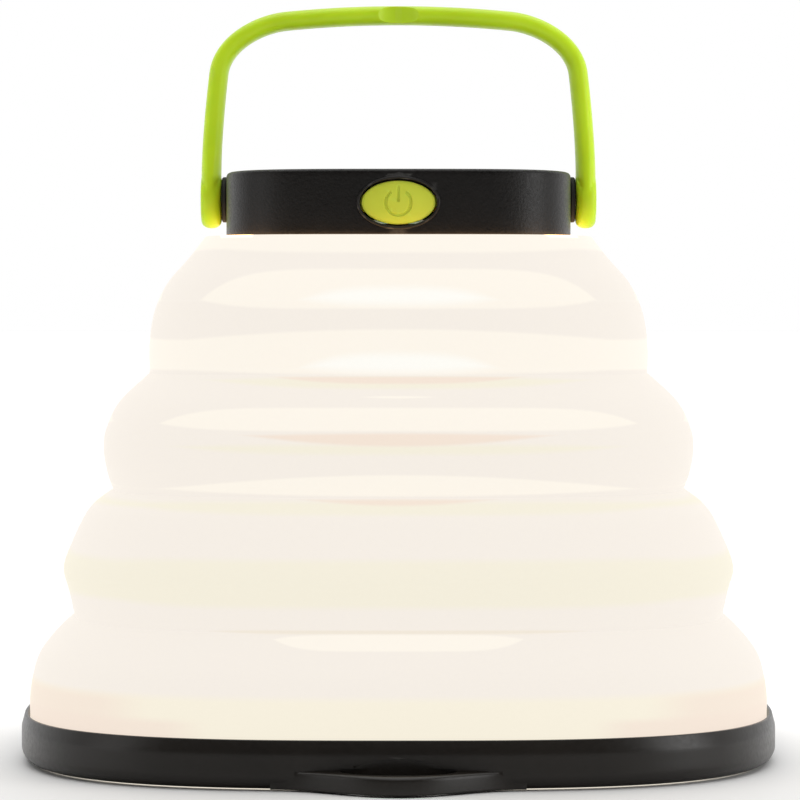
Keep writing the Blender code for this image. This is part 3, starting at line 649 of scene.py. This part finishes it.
def led_finish():
    """A white package with a round yellow phosphor in the middle."""
    made = new_material("led_package", Roughness=0.35, Emission_Strength=1.2)
    tree = made.node_tree
    where = add(tree, "ShaderNodeTexCoord")["Generated"]
    in_plan = vector_calc(tree, "MULTIPLY", where, (1.0, 1.0, 0.0))["Vector"]
    reach = vector_calc(tree, "DISTANCE", in_plan, (0.5, 0.5, 0.0))["Value"]
    inside = remap(tree, reach, 0.33, 0.36, 1.0, 0.0)
    wire(
        tree,
        Base_Color=blend_colours(tree, inside, *PACKAGE_AND_PHOSPHOR),
        Emission_Color=blend_colours(tree, inside, *PHOSPHOR_GLOWS),
    )
    return made


def foil_finish():
    """Crinkled aluminium pouch."""
    made = new_material("cell_foil", Metallic=0.9)
    tree = made.node_tree
    cloud = noise(tree, 420.0, 4.0)
    wire(
        tree,
        Base_Color=blend_colours(tree, cloud, *FOIL_TONES),
        Roughness=spread(tree, cloud, 0.25, 0.42),
        Normal=bump(tree, cells(tree, 240.0, feature="DISTANCE_TO_EDGE"), 0.00006),
    )
    return made


def foam_finish():
    """Black open-cell foam."""
    made = new_material("foam", Roughness=0.95, Specular_IOR_Level=0.1)
    tree = made.node_tree
    pores = cells(tree, 2400.0)
    wire(tree, Base_Color=blend_colours(tree, pores, *FOAM_TONES), Normal=bump(tree, pores, 0.00020))
    return made


def solar_cell_finish():
    """Blue-black silicon: crystal grains, with thin silver fingers across each cell."""
    made = new_material("solar_cell", Specular_IOR_Level=0.6, Coat_Weight=0.6, Coat_Roughness=0.08)
    tree = made.node_tree
    grains = cells(tree, 420.0, "Color", distance="MANHATTAN")
    shade = add(tree, "ShaderNodeSeparateXYZ", Vector=grains)["X"]
    along = add(tree, "ShaderNodeSeparateXYZ", Vector=object_place(tree))["Y"]
    wave = calc(tree, "FRACT", calc(tree, "MULTIPLY", along, 1 / FINGER_PITCH))
    finger = remap(tree, wave, 0.90, 0.93, 0.0, 1.0)
    silicon = blend_colours(tree, shade, *SILICON_TONES)
    wire(
        tree,
        Base_Color=blend_colours(tree, finger, silicon, SILVER),
        Metallic=remap(tree, finger, 0.0, 1.0, 0.0, 0.8),
        Roughness=remap(tree, shade, 0.0, 1.0, 0.16, 0.30),
    )
    return made


def clear_window_finish():
    """Clear window plastic with faint wipe marks."""
    made = new_material("solar_window", Transmission_Weight=1.0, IOR=1.49)
    tree = made.node_tree
    marks = noise(tree, 160.0, 5.0, Distortion=1.2)
    wire(
        tree,
        Base_Color=blend_colours(tree, marks, *WINDOW_TINTS),
        Roughness=remap(tree, marks, 0.35, 0.75, 0.015, 0.07),
    )
    return made


def make_finishes():
    """A finish for each material slot."""
    blacks = (BLACK, SOFT_BLACK)
    soft = {"Subsurface_Weight": 0.15, "Subsurface_Scale": 0.001}
    return {
        "black_plastic": moulded(
            "semi_matte_black", blacks, (0.28, 0.40), 1500.0, 0.000006, 0.8, EDGE_HIGHLIGHT_GREY,
            Specular_IOR_Level=0.33,
        ),
        "cap_plastic": moulded(
            "textured_charcoal", (CHARCOAL, SOFT_CHARCOAL), (0.28, 0.46), 2200.0, 0.000055, 0.8, EDGE_HIGHLIGHT_GREY,
            Specular_IOR_Level=0.22,
        ),
        "inner_plastic": moulded(
            "inner_black", blacks, (0.50, 0.68), 900.0, 0.000015, Specular_IOR_Level=0.4,
        ),
        "lime_plastic": moulded(
            "lime_plastic", (LIME_DEEP, LIME), (0.30, 0.42), 1400.0, 0.000004, 0.5, LIME_EDGE_HIGHLIGHT,
            Specular_IOR_Level=0.20, **soft,
        ),
        "lime_rubber": moulded(
            "lime_rubber", BUTTON_LIMES, (0.44, 0.58), 2200.0, 0.000008, 0.5, LIME_EDGE_HIGHLIGHT,
            Specular_IOR_Level=0.3, **soft,
        ),
        "black_rubber": moulded(
            "black_rubber", RUBBER_BLACKS, (0.62, 0.80), 1800.0, 0.000015, Specular_IOR_Level=0.3,
        ),
        "chip": moulded("chip_epoxy", EPOXY_BLACKS, (0.45, 0.65), 3200.0, 0.000020),
        "red_insulation": moulded("red_insulation", WIRE_REDS, (0.34, 0.46), 2000.0, 0.000006),
        "black_insulation": moulded("black_insulation", WIRE_BLACKS, (0.34, 0.46), 2000.0, 0.000006),
        "bellows_silicone": silicone(),
        "base_diffuser": lit_diffuser(),
        "steel": turned_steel(),
        "circuit_board": circuit_board_finish(),
        "led": led_finish(),
        "foam": foam_finish(),
        "cell_foil": foil_finish(),
        "solar_cell": solar_cell_finish(),
        "solar_window": clear_window_finish(),
    }


# Mesh helpers

def within(share):
    """The share held between 0 and 1."""
    return min(max(share, 0.0), 1.0)


def plan_radius(half, power, angle):
    """How far a rounded-square outline reaches from its centre at an angle."""
    return half / (abs(math.cos(angle)) ** power + abs(math.sin(angle)) ** power) ** (1 / power)


def plan_loop(half, power, z):
    points = []
    for i in range(SIDES):
        angle = math.tau * i / SIDES
        reach = plan_radius(half, power, angle)
        points.append((reach * math.cos(angle), reach * math.sin(angle), z))
    return points


def ellipse_loop(centre, axis, half_a, half_b, sides=ROUND_SIDES):
    """An ellipse about a centre, across the axis named "X", "Y" or "Z"."""
    first, second = {"X": (1, 2), "Y": (0, 2), "Z": (0, 1)}[axis]
    points = []
    for i in range(sides):
        angle = math.tau * i / sides
        point = list(centre)
        point[first] += half_a * math.cos(angle)
        point[second] += half_b * math.sin(angle)
        points.append(point)
    return points


def arc(centre, radius, start, end, steps):
    """(across, height) points on a round edge, from one angle to another in degrees."""
    points = []
    for i in range(steps + 1):
        angle = math.radians(start + (end - start) * i / steps)
        points.append((centre[0] + radius * math.cos(angle), centre[1] + radius * math.sin(angle)))
    return points


def body_from(name, shape):
    """A new object from a finished closed shape."""
    bmesh.ops.recalc_face_normals(shape, faces=shape.faces)
    mesh = bpy.data.meshes.new(name)
    shape.to_mesh(mesh)
    shape.free()
    made = bpy.data.objects.new(name, mesh)
    bpy.context.scene.collection.objects.link(made)
    return made


def skin(name, loops, hollow=False):
    """A closed body over equal loops: hollow joins the last loop to the first, else both are capped."""
    shape = bmesh.new()
    rows = [[shape.verts.new(point) for point in loop] for loop in loops]
    pairs = list(zip(rows, rows[1:]))
    if hollow:
        pairs.append((rows[-1], rows[0]))
    else:
        shape.faces.new(rows[0])
        shape.faces.new(rows[-1])
    for low, high in pairs:
        for i in range(len(low)):
            j = (i + 1) % len(low)
            shape.faces.new((low[i], low[j], high[j], high[i]))
    return body_from(name, shape)


def turned(name, centre, axis, profile, sides=ROUND_SIDES, hollow=False):
    """A turned piece: profile lists (distance along the axis from the centre, radius)."""
    step = Vector([float(axis == letter) for letter in "XYZ"])
    loops = [ellipse_loop(Vector(centre) + step * along, axis, r, r, sides) for along, r in profile]
    return skin(name, loops, hollow)


def oval(name, levels, hollow=False):
    """An oval body along Y round the button's centre: levels lists (y, half width, half height)."""
    loops = [ellipse_loop((0.0, y, BUTTON_HEIGHT), "Y", wide, tall, OVAL_SIDES) for y, wide, tall in levels]
    return skin(name, loops, hollow)


def block(name, low, high, edge, segments=3):
    """A block between two corners, with all its edges rounded."""
    shape = bmesh.new()
    places = [(x, y, z) for x in (low[0], high[0]) for y in (low[1], high[1]) for z in (low[2], high[2])]
    corners = [shape.verts.new(place) for place in places]
    for face in ((0, 1, 3, 2), (4, 6, 7, 5), (0, 4, 5, 1), (2, 3, 7, 6), (0, 2, 6, 4), (1, 5, 7, 3)):
        shape.faces.new([corners[i] for i in face])
    bmesh.ops.bevel(shape, geom=shape.edges[:], offset=edge, segments=segments, profile=0.5, affect="EDGES")
    return body_from(name, shape)


def combine(target, operation, tools):
    """Applies Booleans at once and removes the helpers."""
    for tool in tools:
        step = target.modifiers.new(tool.name, "BOOLEAN")
        step.operation = operation
        step.solver = "EXACT"
        step.object = tool
    bpy.context.view_layer.update()
    result = bpy.data.meshes.new_from_object(target.evaluated_get(bpy.context.evaluated_depsgraph_get()))
    target.modifiers.clear()
    target.data = result
    for tool in tools:
        bpy.data.objects.remove(tool, do_unlink=True)


def cut(target, *tools):
    combine(target, "DIFFERENCE", tools)


def join(target, *tools):
    combine(target, "UNION", tools)


def show(piece, body, slot, *nodes, sharp=32):
    """Finishes a piece: smooth shading, its finish, the body it rides on and the CAD nodes it stands for."""
    piece.data.shade_smooth()
    piece.data.set_sharp_from_angle(angle=math.radians(sharp))
    piece.data.materials.clear()
    piece.data.materials.append(FINISHES[slot])
    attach(piece, body)
    if nodes:
        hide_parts(*nodes)


# Base

def hang_loop():
    """The flat lip below the front wall: a smooth bulge in plan, with rounded upper and lower edges."""
    levels = [(LOOP_BOTTOM, LOOP_BOTTOM_EDGE), (LOOP_BOTTOM + LOOP_BOTTOM_EDGE, 0.0)]
    for turn in range(0, 91, 18):
        slope = math.radians(turn)
        inset = LOOP_TOP_EDGE * (1 - math.cos(slope))
        levels.append((LOOP_TOP - LOOP_TOP_EDGE * (1 - math.sin(slope)), inset))
    loops = []
    for z, inset in levels:
        points = []
        for i in range(LOOP_STEPS + 1):
            x = LOOP_HALF_WIDTH * (2 * i / LOOP_STEPS - 1)
            bulge = (LOOP_REACH - LOOP_ROOT) * math.cos(math.pi / 2 * x / LOOP_HALF_WIDTH) ** 2
            points.append((x, -(LOOP_ROOT + bulge - inset), z))
        points.append((LOOP_HALF_WIDTH, -LOOP_BACK, z))
        points.append((-LOOP_HALF_WIDTH, -LOOP_BACK, z))
        loops.append(points)
    return skin("hang_loop", loops)


def loop_slot():
    """The slot between the lip and the wall: straight at the back, bowed at the front, with eased edges."""
    levels = [(LOOP_BOTTOM + z, grow) for z, grow in SLOT_LOW_ROWS]
    levels += [(LOOP_TOP + z, grow) for z, grow in SLOT_HIGH_ROWS]
    loops = []
    for z, grow in levels:
        outline = []
        for i in range(SLOT_STEPS + 1):
            angle = math.pi * i / SLOT_STEPS
            across = math.copysign(abs(math.cos(angle)) ** (2 / SLOT_ACROSS_POWER), math.cos(angle))
            bow = math.sin(angle) ** (2 / SLOT_BOW_POWER)
            reach = SLOT_BACK + (SLOT_DEPTH + grow) * bow
            outline.append((-(SLOT_HALF_WIDTH + grow) * across, -reach, z))
        loops.append(outline)
    return skin("loop_slot", loops)


def loop_arch():
    """The shallow arched hollow in the wall above the slot."""
    loops = []
    for i in range(1, HOLLOW_STEPS):
        slope = math.pi * i / HOLLOW_STEPS - math.pi / 2
        centre = (0.0, HOLLOW_Y, HOLLOW_Z + HOLLOW_HALF_TALL * math.sin(slope))
        shrink = math.cos(slope)
        loops.append(ellipse_loop(centre, "Z", HOLLOW_HALF_WIDTH * shrink, HOLLOW_HALF_DEEP * shrink))
    return skin("loop_arch", loops)


def base_ring():
    """The black outer frame: a wall with a bevelled rim, an inward floor and the hang loop at the front."""
    foot = (BASE_HALF - RING_FOOT_RADIUS, RING_BOTTOM + RING_FOOT_RADIUS)
    outline = [(RIM_OUTER, RING_TOP)]
    outline += arc((RIM_OUTER, RING_TOP - RIM_RADIUS), RIM_RADIUS, 75, 15, 3)
    outline += [(BASE_HALF - inset, z) for inset, z in BEVEL]
    outline += [(BASE_HALF, WALL_TOP - WALL_ROW * i) for i in range(WALL_ROWS)]
    outline += arc(foot, RING_FOOT_RADIUS, 0, -90, 12)
    outline += [
        (LENS_RECESS, RING_BOTTOM),
        (LENS_RECESS, RING_FLOOR_BOTTOM),
        (RING_OPENING, RING_FLOOR_BOTTOM),
        (RING_OPENING, RING_FLOOR_TOP),
        (RIM_INNER, RING_FLOOR_TOP),
        (RIM_INNER, RING_TOP - RIM_EDGE),
        (RIM_INNER + RIM_EDGE, RING_TOP),
    ]
    ring = skin("base_frame", [plan_loop(half, BASE_POWER, z) for half, z in outline], hollow=True)
    join(ring, hang_loop())
    cut(ring, loop_slot(), loop_arch())
    show(ring, "base", "black_plastic", "base_ring")


def bottom_lens():
    """The frosted plate that closes the underside, with shallow moulded grooves."""
    half = LENS_HIGH.x
    thick = LENS_HIGH.z
    outline = [(LENS_MIDDLE, 0.0)]
    for start, depth in LENS_GROOVES:
        end = start + GROOVE_WIDTH
        outline += [(start, 0.0), (start + GROOVE_SLOPE, depth), (end - GROOVE_SLOPE, depth), (end, 0.0)]
    outline += [(half - LENS_EDGE, 0.0), (half, LENS_EDGE), (half, thick - LENS_EDGE)]
    outline += [(half - LENS_EDGE, thick), (LENS_MIDDLE, thick)]
    plate = skin("bottom_plate", [plan_loop(reach, BASE_POWER, z) for reach, z in outline])
    show(plate, "base", "base_diffuser", "bottom_lens")


# Bellows

def bellows_power(z):
    """The bellows is squarer under the cap and rounder towards the base."""
    low = BELLOWS_TIERS[-1][-1][1]
    high = BELLOWS_TIERS[0][0][1]
    return BASE_POWER + (CAP_POWER - BASE_POWER) * within((z - low) / (high - low))


def curve_through(points, steps):
    """A smooth curve through the points, with its ends left sharp."""
    line = [Vector(point) for point in points]
    line = [2 * line[0] - line[1], *line, 2 * line[-1] - line[-2]]
    made = []
    for before, start, end, after in zip(line, line[1:], line[2:], line[3:]):
        for i in range(steps):
            t = i / steps
            slide = (end - before) * t
            sag = (2 * before - 5 * start + 4 * end - after) * t**2
            bend = (3 * start - before - 3 * end + after) * t**3
            made.append(0.5 * (2 * start + slide + sag + bend))
    return made


def bellows_line(steps):
    """The bellows' outer line from under the cap down to the base."""
    line = []
    for tier in BELLOWS_TIERS:
        line += curve_through(tier, steps)
    return line + [Vector(BELLOWS_TIERS[-1][-1])]


def inward(points, distance):
    """The same line moved to the bellows' inner side, which is on its right going down."""
    moved = []
    for i, point in enumerate(points):
        ahead = points[min(i + 1, len(points) - 1)] - points[max(i - 1, 0)]
        side = Vector((ahead.y, -ahead.x)).normalized()
        moved.append(point + side * distance)
    return moved


def along_the_face(point):
    """Distance from the middle of the front or back face. On the side faces it falls off late and steeply."""
    if abs(point.y) >= abs(point.x):
        return abs(point.x)
    power = bellows_power(point.z)
    corner = ((abs(point.x) ** power + abs(point.y) ** power) / 2) ** (1 / power)
    return corner * (1 - (1 - abs(point.y) / corner) ** SIDE_FACE_FALL)


def on_the_shoulder(point):
    """True on the flat top flange, close under the cap, where the strong painted glow goes."""
    return point.z > BELLOWS_TOP - 0.0001 and max(abs(point.x), abs(point.y)) <= CAP_HALF + 0.0001


def bellows():
    """The silicone bellows: four tiers between a flat top flange and a flat foot flange."""
    wall = bellows_line(OUTSIDE_STEPS)
    inside = inward(bellows_line(INSIDE_STEPS), BELLOWS_WALL)
    foot_top = BELLOWS_FOOT + BELLOWS_WALL
    flange_bottom = BELLOWS_TOP - BELLOWS_WALL
    outline = [(BELLOWS_TOP_INNER, BELLOWS_TOP), (CAP_HALF, BELLOWS_TOP)]
    outline += [tuple(point) for point in wall]
    outline += [
        (wall[-1].x, BELLOWS_FOOT),
        (BELLOWS_FOOT_INNER, BELLOWS_FOOT),
        (BELLOWS_FOOT_INNER, foot_top),
        (wall[-1].x - BELLOWS_WALL, foot_top),
    ]
    outline += [tuple(point) for point in reversed(inside[1:])]
    outline += [(CAP_HALF + BELLOWS_WALL, flange_bottom), (BELLOWS_TOP_INNER, flange_bottom)]
    loops = [plan_loop(half, bellows_power(z), z) for half, z in outline]
    piece = skin("bellows_skin", loops, hollow=True)
    glow = piece.data.attributes.new("glow_place", "FLOAT_VECTOR", "POINT")
    for vertex, item in zip(piece.data.vertices, glow.data):
        item.vector = (along_the_face(vertex.co), vertex.co.z, float(on_the_shoulder(vertex.co)))
    show(piece, "base", "bellows_silicone", "bellows", sharp=28)
    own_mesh(piece)


# Cap

def button_ridge():
    """The raised oval ring moulded round the button, with a rounded crest."""
    wide = BUTTON_HALF_WIDTH + BUTTON_GAP
    tall = BUTTON_HALF_TALL + BUTTON_GAP
    proud = -BUTTON_FRONT - CAP_HALF
    root = -CAP_HALF + RIDGE_ROOT
    levels = []
    for turn in range(0, 181, 20):
        slope = math.radians(turn)
        out = RIDGE_WIDTH * (1 + math.cos(slope)) / 2
        levels.append((-(CAP_HALF + proud * math.sin(slope)), wide + out, tall + out))
    levels += [(root, wide, tall), (root, wide + RIDGE_WIDTH, tall + RIDGE_WIDTH)]
    return oval("button_ridge", levels, hollow=True)


def pivot_bores():
    """The cutters for the holes that the pivot pins sit in."""
    made = []
    for side, word in ((-1, "left"), (1, "right")):
        profile = [(side * x, radius) for x, radius in PIVOT_BORE]
        made.append(turned(f"pivot_bore_{word}", (0.0, 0.0, PIVOT_HEIGHT), "X", profile))
    return made


def cap_shell():
    """The light cap's one-piece top and wall, with a recess for the solar panel."""
    inner = CAP_HALF - CAP_WALL
    wall_top = CAP_TOP - CAP_EDGE
    recess = SOLAR_HALF + RECESS_GAP
    outline = [(inner, CAP_CEILING), (inner, CAP_BOTTOM), (CAP_HALF - CAP_FOOT_EDGE, CAP_BOTTOM)]
    for row in range(CAP_ROWS):
        outline.append((CAP_HALF, CAP_BOTTOM + CAP_FOOT_EDGE + (wall_top - CAP_BOTTOM) * row / CAP_ROWS))
    outline += arc((CAP_HALF - CAP_EDGE, wall_top), CAP_EDGE, 0, 90, 6)
    outline += [(recess + RECESS_EDGE, CAP_TOP), (recess, CAP_TOP - RECESS_EDGE)]
    outline.append((recess, SOLAR_RECESS_FLOOR))
    shell = skin("light_cap", [plan_loop(half, CAP_POWER, z) for half, z in outline])
    hole_wide = BUTTON_HALF_WIDTH + BUTTON_GAP
    hole_tall = BUTTON_HALF_TALL + BUTTON_GAP
    hole = oval("button_hole", [(HOLE_FRONT, hole_wide, hole_tall), (HOLE_BACK, hole_wide, hole_tall)])
    port = block("port_hole", *PORT_HOLE, POCKET_EDGE)
    pocket = block("cover_pocket", *COVER_POCKET, POCKET_EDGE)
    cut(shell, hole, port, pocket, *pivot_bores())
    join(shell, button_ridge())
    show(shell, "cap", "cap_plastic", "cap_shell")


def button_mark():
    """The recessed power mark: a ring open at the top, and a bar through the opening."""
    front = BUTTON_FRONT - MARK_CLEARANCE
    back = BUTTON_FRONT + MARK_DEPTH
    mouth = MARK_HALF_LINE * MARK_MOUTH
    floor = MARK_HALF_LINE * MARK_FLOOR
    section = ((-mouth, front), (mouth, front), (floor, back), (-floor, back))
    loops = []
    for i in range(MARK_STEPS + 1):
        angle = math.radians(90 + MARK_HALF_OPENING + (360 - 2 * MARK_HALF_OPENING) * i / MARK_STEPS)
        loop = []
        for offset, y in section:
            reach = MARK_RADIUS + offset
            loop.append((reach * math.cos(angle), y, BUTTON_HEIGHT + reach * math.sin(angle)))
        loops.append(loop)
    ring = skin("mark_ring", loops)
    wide = MARK_HALF_LINE * 0.95
    low = (-wide, front, BUTTON_HEIGHT + BAR_LOW)
    high = (wide, back, BUTTON_HEIGHT + BAR_HIGH)
    return ring, block("mark_bar", low, high, wide * 0.6)


def power_button():
    """The push button: a domed oval front with a recessed power mark, on a flange and a stem."""
    levels = []
    for share in (0.30, 0.55, 0.72, 0.84, 0.92, 0.965, 0.99, 1.0):
        drop = BUTTON_DOME * (1 - math.sqrt(1 - share**2)) ** BUTTON_DOME_POWER
        levels.append((BUTTON_FRONT + drop, BUTTON_HALF_WIDTH * share, BUTTON_HALF_TALL * share))
    levels.append((BUTTON_BACK, BUTTON_HALF_WIDTH, BUTTON_HALF_TALL))
    levels += BUTTON_BODY
    button = oval("button_cap", levels)
    cut(button, *button_mark())
    show(button, "button", "lime_rubber", "power_button")


def port_cover():
    """The rubber cover over the charging port: a thin flap with a finger notch and a plug behind it."""
    flap = block("port_cover_flap", *COVER_FLAP, COVER_FLAP_EDGE)
    join(flap, block("cover_plug", *COVER_PLUG, COVER_PLUG_EDGE))
    cut(flap, turned("cover_notch", NOTCH_CENTRE, "Z", NOTCH))
    show(flap, "port_flap", "black_rubber", "usb_cover")


def solar_parts():
    """Four silicon cells with printed fingers on a dark backing sheet, under a clear window."""
    half = SOLAR_HALF
    low = PANEL_LOW.z
    backing_levels = (low, low + BACKING_THICKNESS)
    backing = skin("solar_backing", [plan_loop(half, CAP_POWER, z) for z in backing_levels])
    show(backing, "cap", "solar_cell", "solar_panel")
    # The backing belongs to the panel's slot, but it is plain black between the cells.
    backing.data.materials[0] = FINISHES["chip"]
    reach = half * CELLS_SHARE
    width = (2 * reach - (CELL_COUNT - 1) * CELL_GAP) / CELL_COUNT
    for number in range(CELL_COUNT):
        left = -reach + number * (width + CELL_GAP)
        at_the_end = number in (0, CELL_COUNT - 1)
        tall = reach * END_CELL_SHARE if at_the_end else reach
        corner = (left, -tall, low + CELL_LIFT)
        opposite = (left + width, tall, PANEL_HIGH.z)
        show(block(f"solar_cell_{number + 1}", corner, opposite, CELL_EDGE, 1), "cap", "solar_cell")
    low, high = WINDOW_LOW.z, WINDOW_HIGH.z
    outline = (
        (half - WINDOW_EDGE, low), (half, low + WINDOW_EDGE),
        (half, high - WINDOW_EDGE), (half - WINDOW_EDGE, high),
    )
    window = skin("clear_window", [plan_loop(reach, CAP_POWER, z) for reach, z in outline])
    show(window, "cap", "solar_window", "solar_window")


# Bail

def pivots():
    """On each side a domed pin through the handle's eye, and the washer that holds the handle by friction."""
    centre = (0.0, 0.0, PIVOT_HEIGHT)
    pin = list(PIN_SHAFT)
    for turn in (0, 20, 40, 60, 76, 86):
        slope = math.radians(turn)
        pin.append((PIN_DOME_START + PIN_DOME_HEIGHT * math.sin(slope), PIN_HEAD_RADIUS * math.cos(slope)))
    for side, word in ((-1, "left"), (1, "right")):
        stud = turned(f"pivot_stud_{word}", centre, "X", [(side * x, r) for x, r in pin])
        show(stud, "cap", "steel", f"pivot_pin_{word}")
        profile = [(side * x, r) for x, r in WASHER]
        disc = turned(f"friction_disc_{word}", centre, "X", profile, FINE_SIDES, hollow=True)
        show(disc, "cap", "black_rubber", f"pivot_washer_{word}")


def bail_corner():
    """The bent corner from the top of the right leg to the end of the arched bar, as a cubic curve."""
    start = Vector((LEG_X - LEG_LEAN, BEND_Z))
    end = Vector((ARCH_X, TOP_Z - ARCH))
    leg_way = Vector((-LEG_LEAN_POWER * LEG_LEAN / (BEND_Z - LEAN_Z), 1.0)).normalized()
    arch_way = Vector((-1.0, 2 * ARCH / ARCH_X)).normalized()
    controls = (start, start + leg_way * BEND_PULL, end - arch_way * BEND_PULL, end)
    points = []
    for i in range(BEND_STEPS + 1):
        t = i / BEND_STEPS
        weights = ((1 - t) ** 3, 3 * t * (1 - t) ** 2, 3 * t**2 * (1 - t), t**3)
        points.append(sum((point * weight for point, weight in zip(controls, weights)), Vector((0, 0))))
    return points


def handle_path():
    """The middle line of the bail in the XZ plane, from its left eye over the top to its right eye."""
    right = [Vector((LEG_X, PIVOT_HEIGHT + (LEAN_Z - PIVOT_HEIGHT) * i / 4)) for i in range(4)]
    for step in range(LEG_STEPS):
        lean = step / LEG_STEPS
        right.append(Vector((LEG_X - LEG_LEAN * lean**LEG_LEAN_POWER, LEAN_Z + (BEND_Z - LEAN_Z) * lean)))
    right += bail_corner()
    for i in range(1, ARCH_STEPS):
        x = ARCH_X * (1 - i / ARCH_STEPS)
        right.append(Vector((x, TOP_Z - ARCH * (x / ARCH_X) ** 2)))
    left = [Vector((-point.x, point.y)) for point in right]
    return left + [Vector((0.0, TOP_Z))] + right[::-1]


def bar_loop(point, side):
    """The bail's cross-section at a point of its path: deeper towards the eye, thinner towards the top."""
    climb = within((point.y - PIVOT_HEIGHT) / (TOP_Z - PIVOT_HEIGHT))
    flare = within((PIVOT_HEIGHT + FLARE - point.y) / FLARE)
    half_thick = BAR_HALF_THICK - BAR_THINNING * climb
    eye_depth = EYE_RADIUS - FLARE_INSET
    half_deep = BAR_HALF_DEPTH + (eye_depth - BAR_HALF_DEPTH) * flare**2 * (3 - 2 * flare)
    loop = []
    for step in range(BAR_SIDES):
        angle = math.tau * step / BAR_SIDES
        reach = plan_radius(1.0, BAR_POWER, angle)
        across = side * (half_thick * reach * math.cos(angle))
        loop.append((point.x + across.x, half_deep * reach * math.sin(angle), point.y + across.y))
    return loop


def eye_profile():
    """The eye at the bail's end: a thick disc with a rounded rim."""
    middle = (EYE_INNER + EYE_OUTER) / 2
    half_wide = (EYE_OUTER - EYE_INNER) / 2
    profile = []
    for turn in range(-90, 91, 15):
        slope = math.radians(turn)
        along = middle + math.copysign(abs(math.sin(slope)) ** EYE_SQUARENESS, slope) * half_wide
        profile.append((along, EYE_RADIUS - EYE_EDGE * (1 - math.cos(slope) ** EYE_SQUARENESS)))
    return profile


def handle():
    """The carrying bail: an oval bar with a flat round eye on each end and a thumb hollow at the top."""
    path = handle_path()
    loops = []
    for i, point in enumerate(path):
        ahead = (path[min(i + 1, len(path) - 1)] - path[max(i - 1, 0)]).normalized()
        loops.append(bar_loop(point, Vector((-ahead.y, ahead.x))))
    bail = skin("bail", loops)
    centre = (0.0, 0.0, PIVOT_HEIGHT)
    eyes = []
    rooms = []
    for side, word in ((-1, "left"), (1, "right")):
        eyes.append(turned(f"eye_{word}", centre, "X", [(side * x, r) for x, r in eye_profile()], FINE_SIDES))
        rooms.append(turned(f"pin_room_{word}", centre, "X", [(side * x, r) for x, r in PIN_ROOM]))
    join(bail, *eyes)
    cut(bail, *rooms, turned("thumb_hollow", THUMB_CENTRE, "Z", THUMB_HOLLOW, FINE_SIDES))
    show(bail, "bail", "lime_plastic", "handle")


def finish_cad_nodes():
    """Gives the CAD nodes that stay in view their detailed finishes."""
    slots = {part["node"]: part["material_slot"] for part in frame["record"]["subparts"]}
    for name, node in frame["nodes"].items():
        if node.hide_render:
            continue
        node.data.materials.clear()
        node.data.materials.append(FINISHES[slots[name]])


add_camera()
add_studio()
add_floor()
FINISHES = make_finishes()
base_ring()
bottom_lens()
bellows()
cap_shell()
power_button()
port_cover()
solar_parts()
pivots()
handle()
finish_cad_nodes()
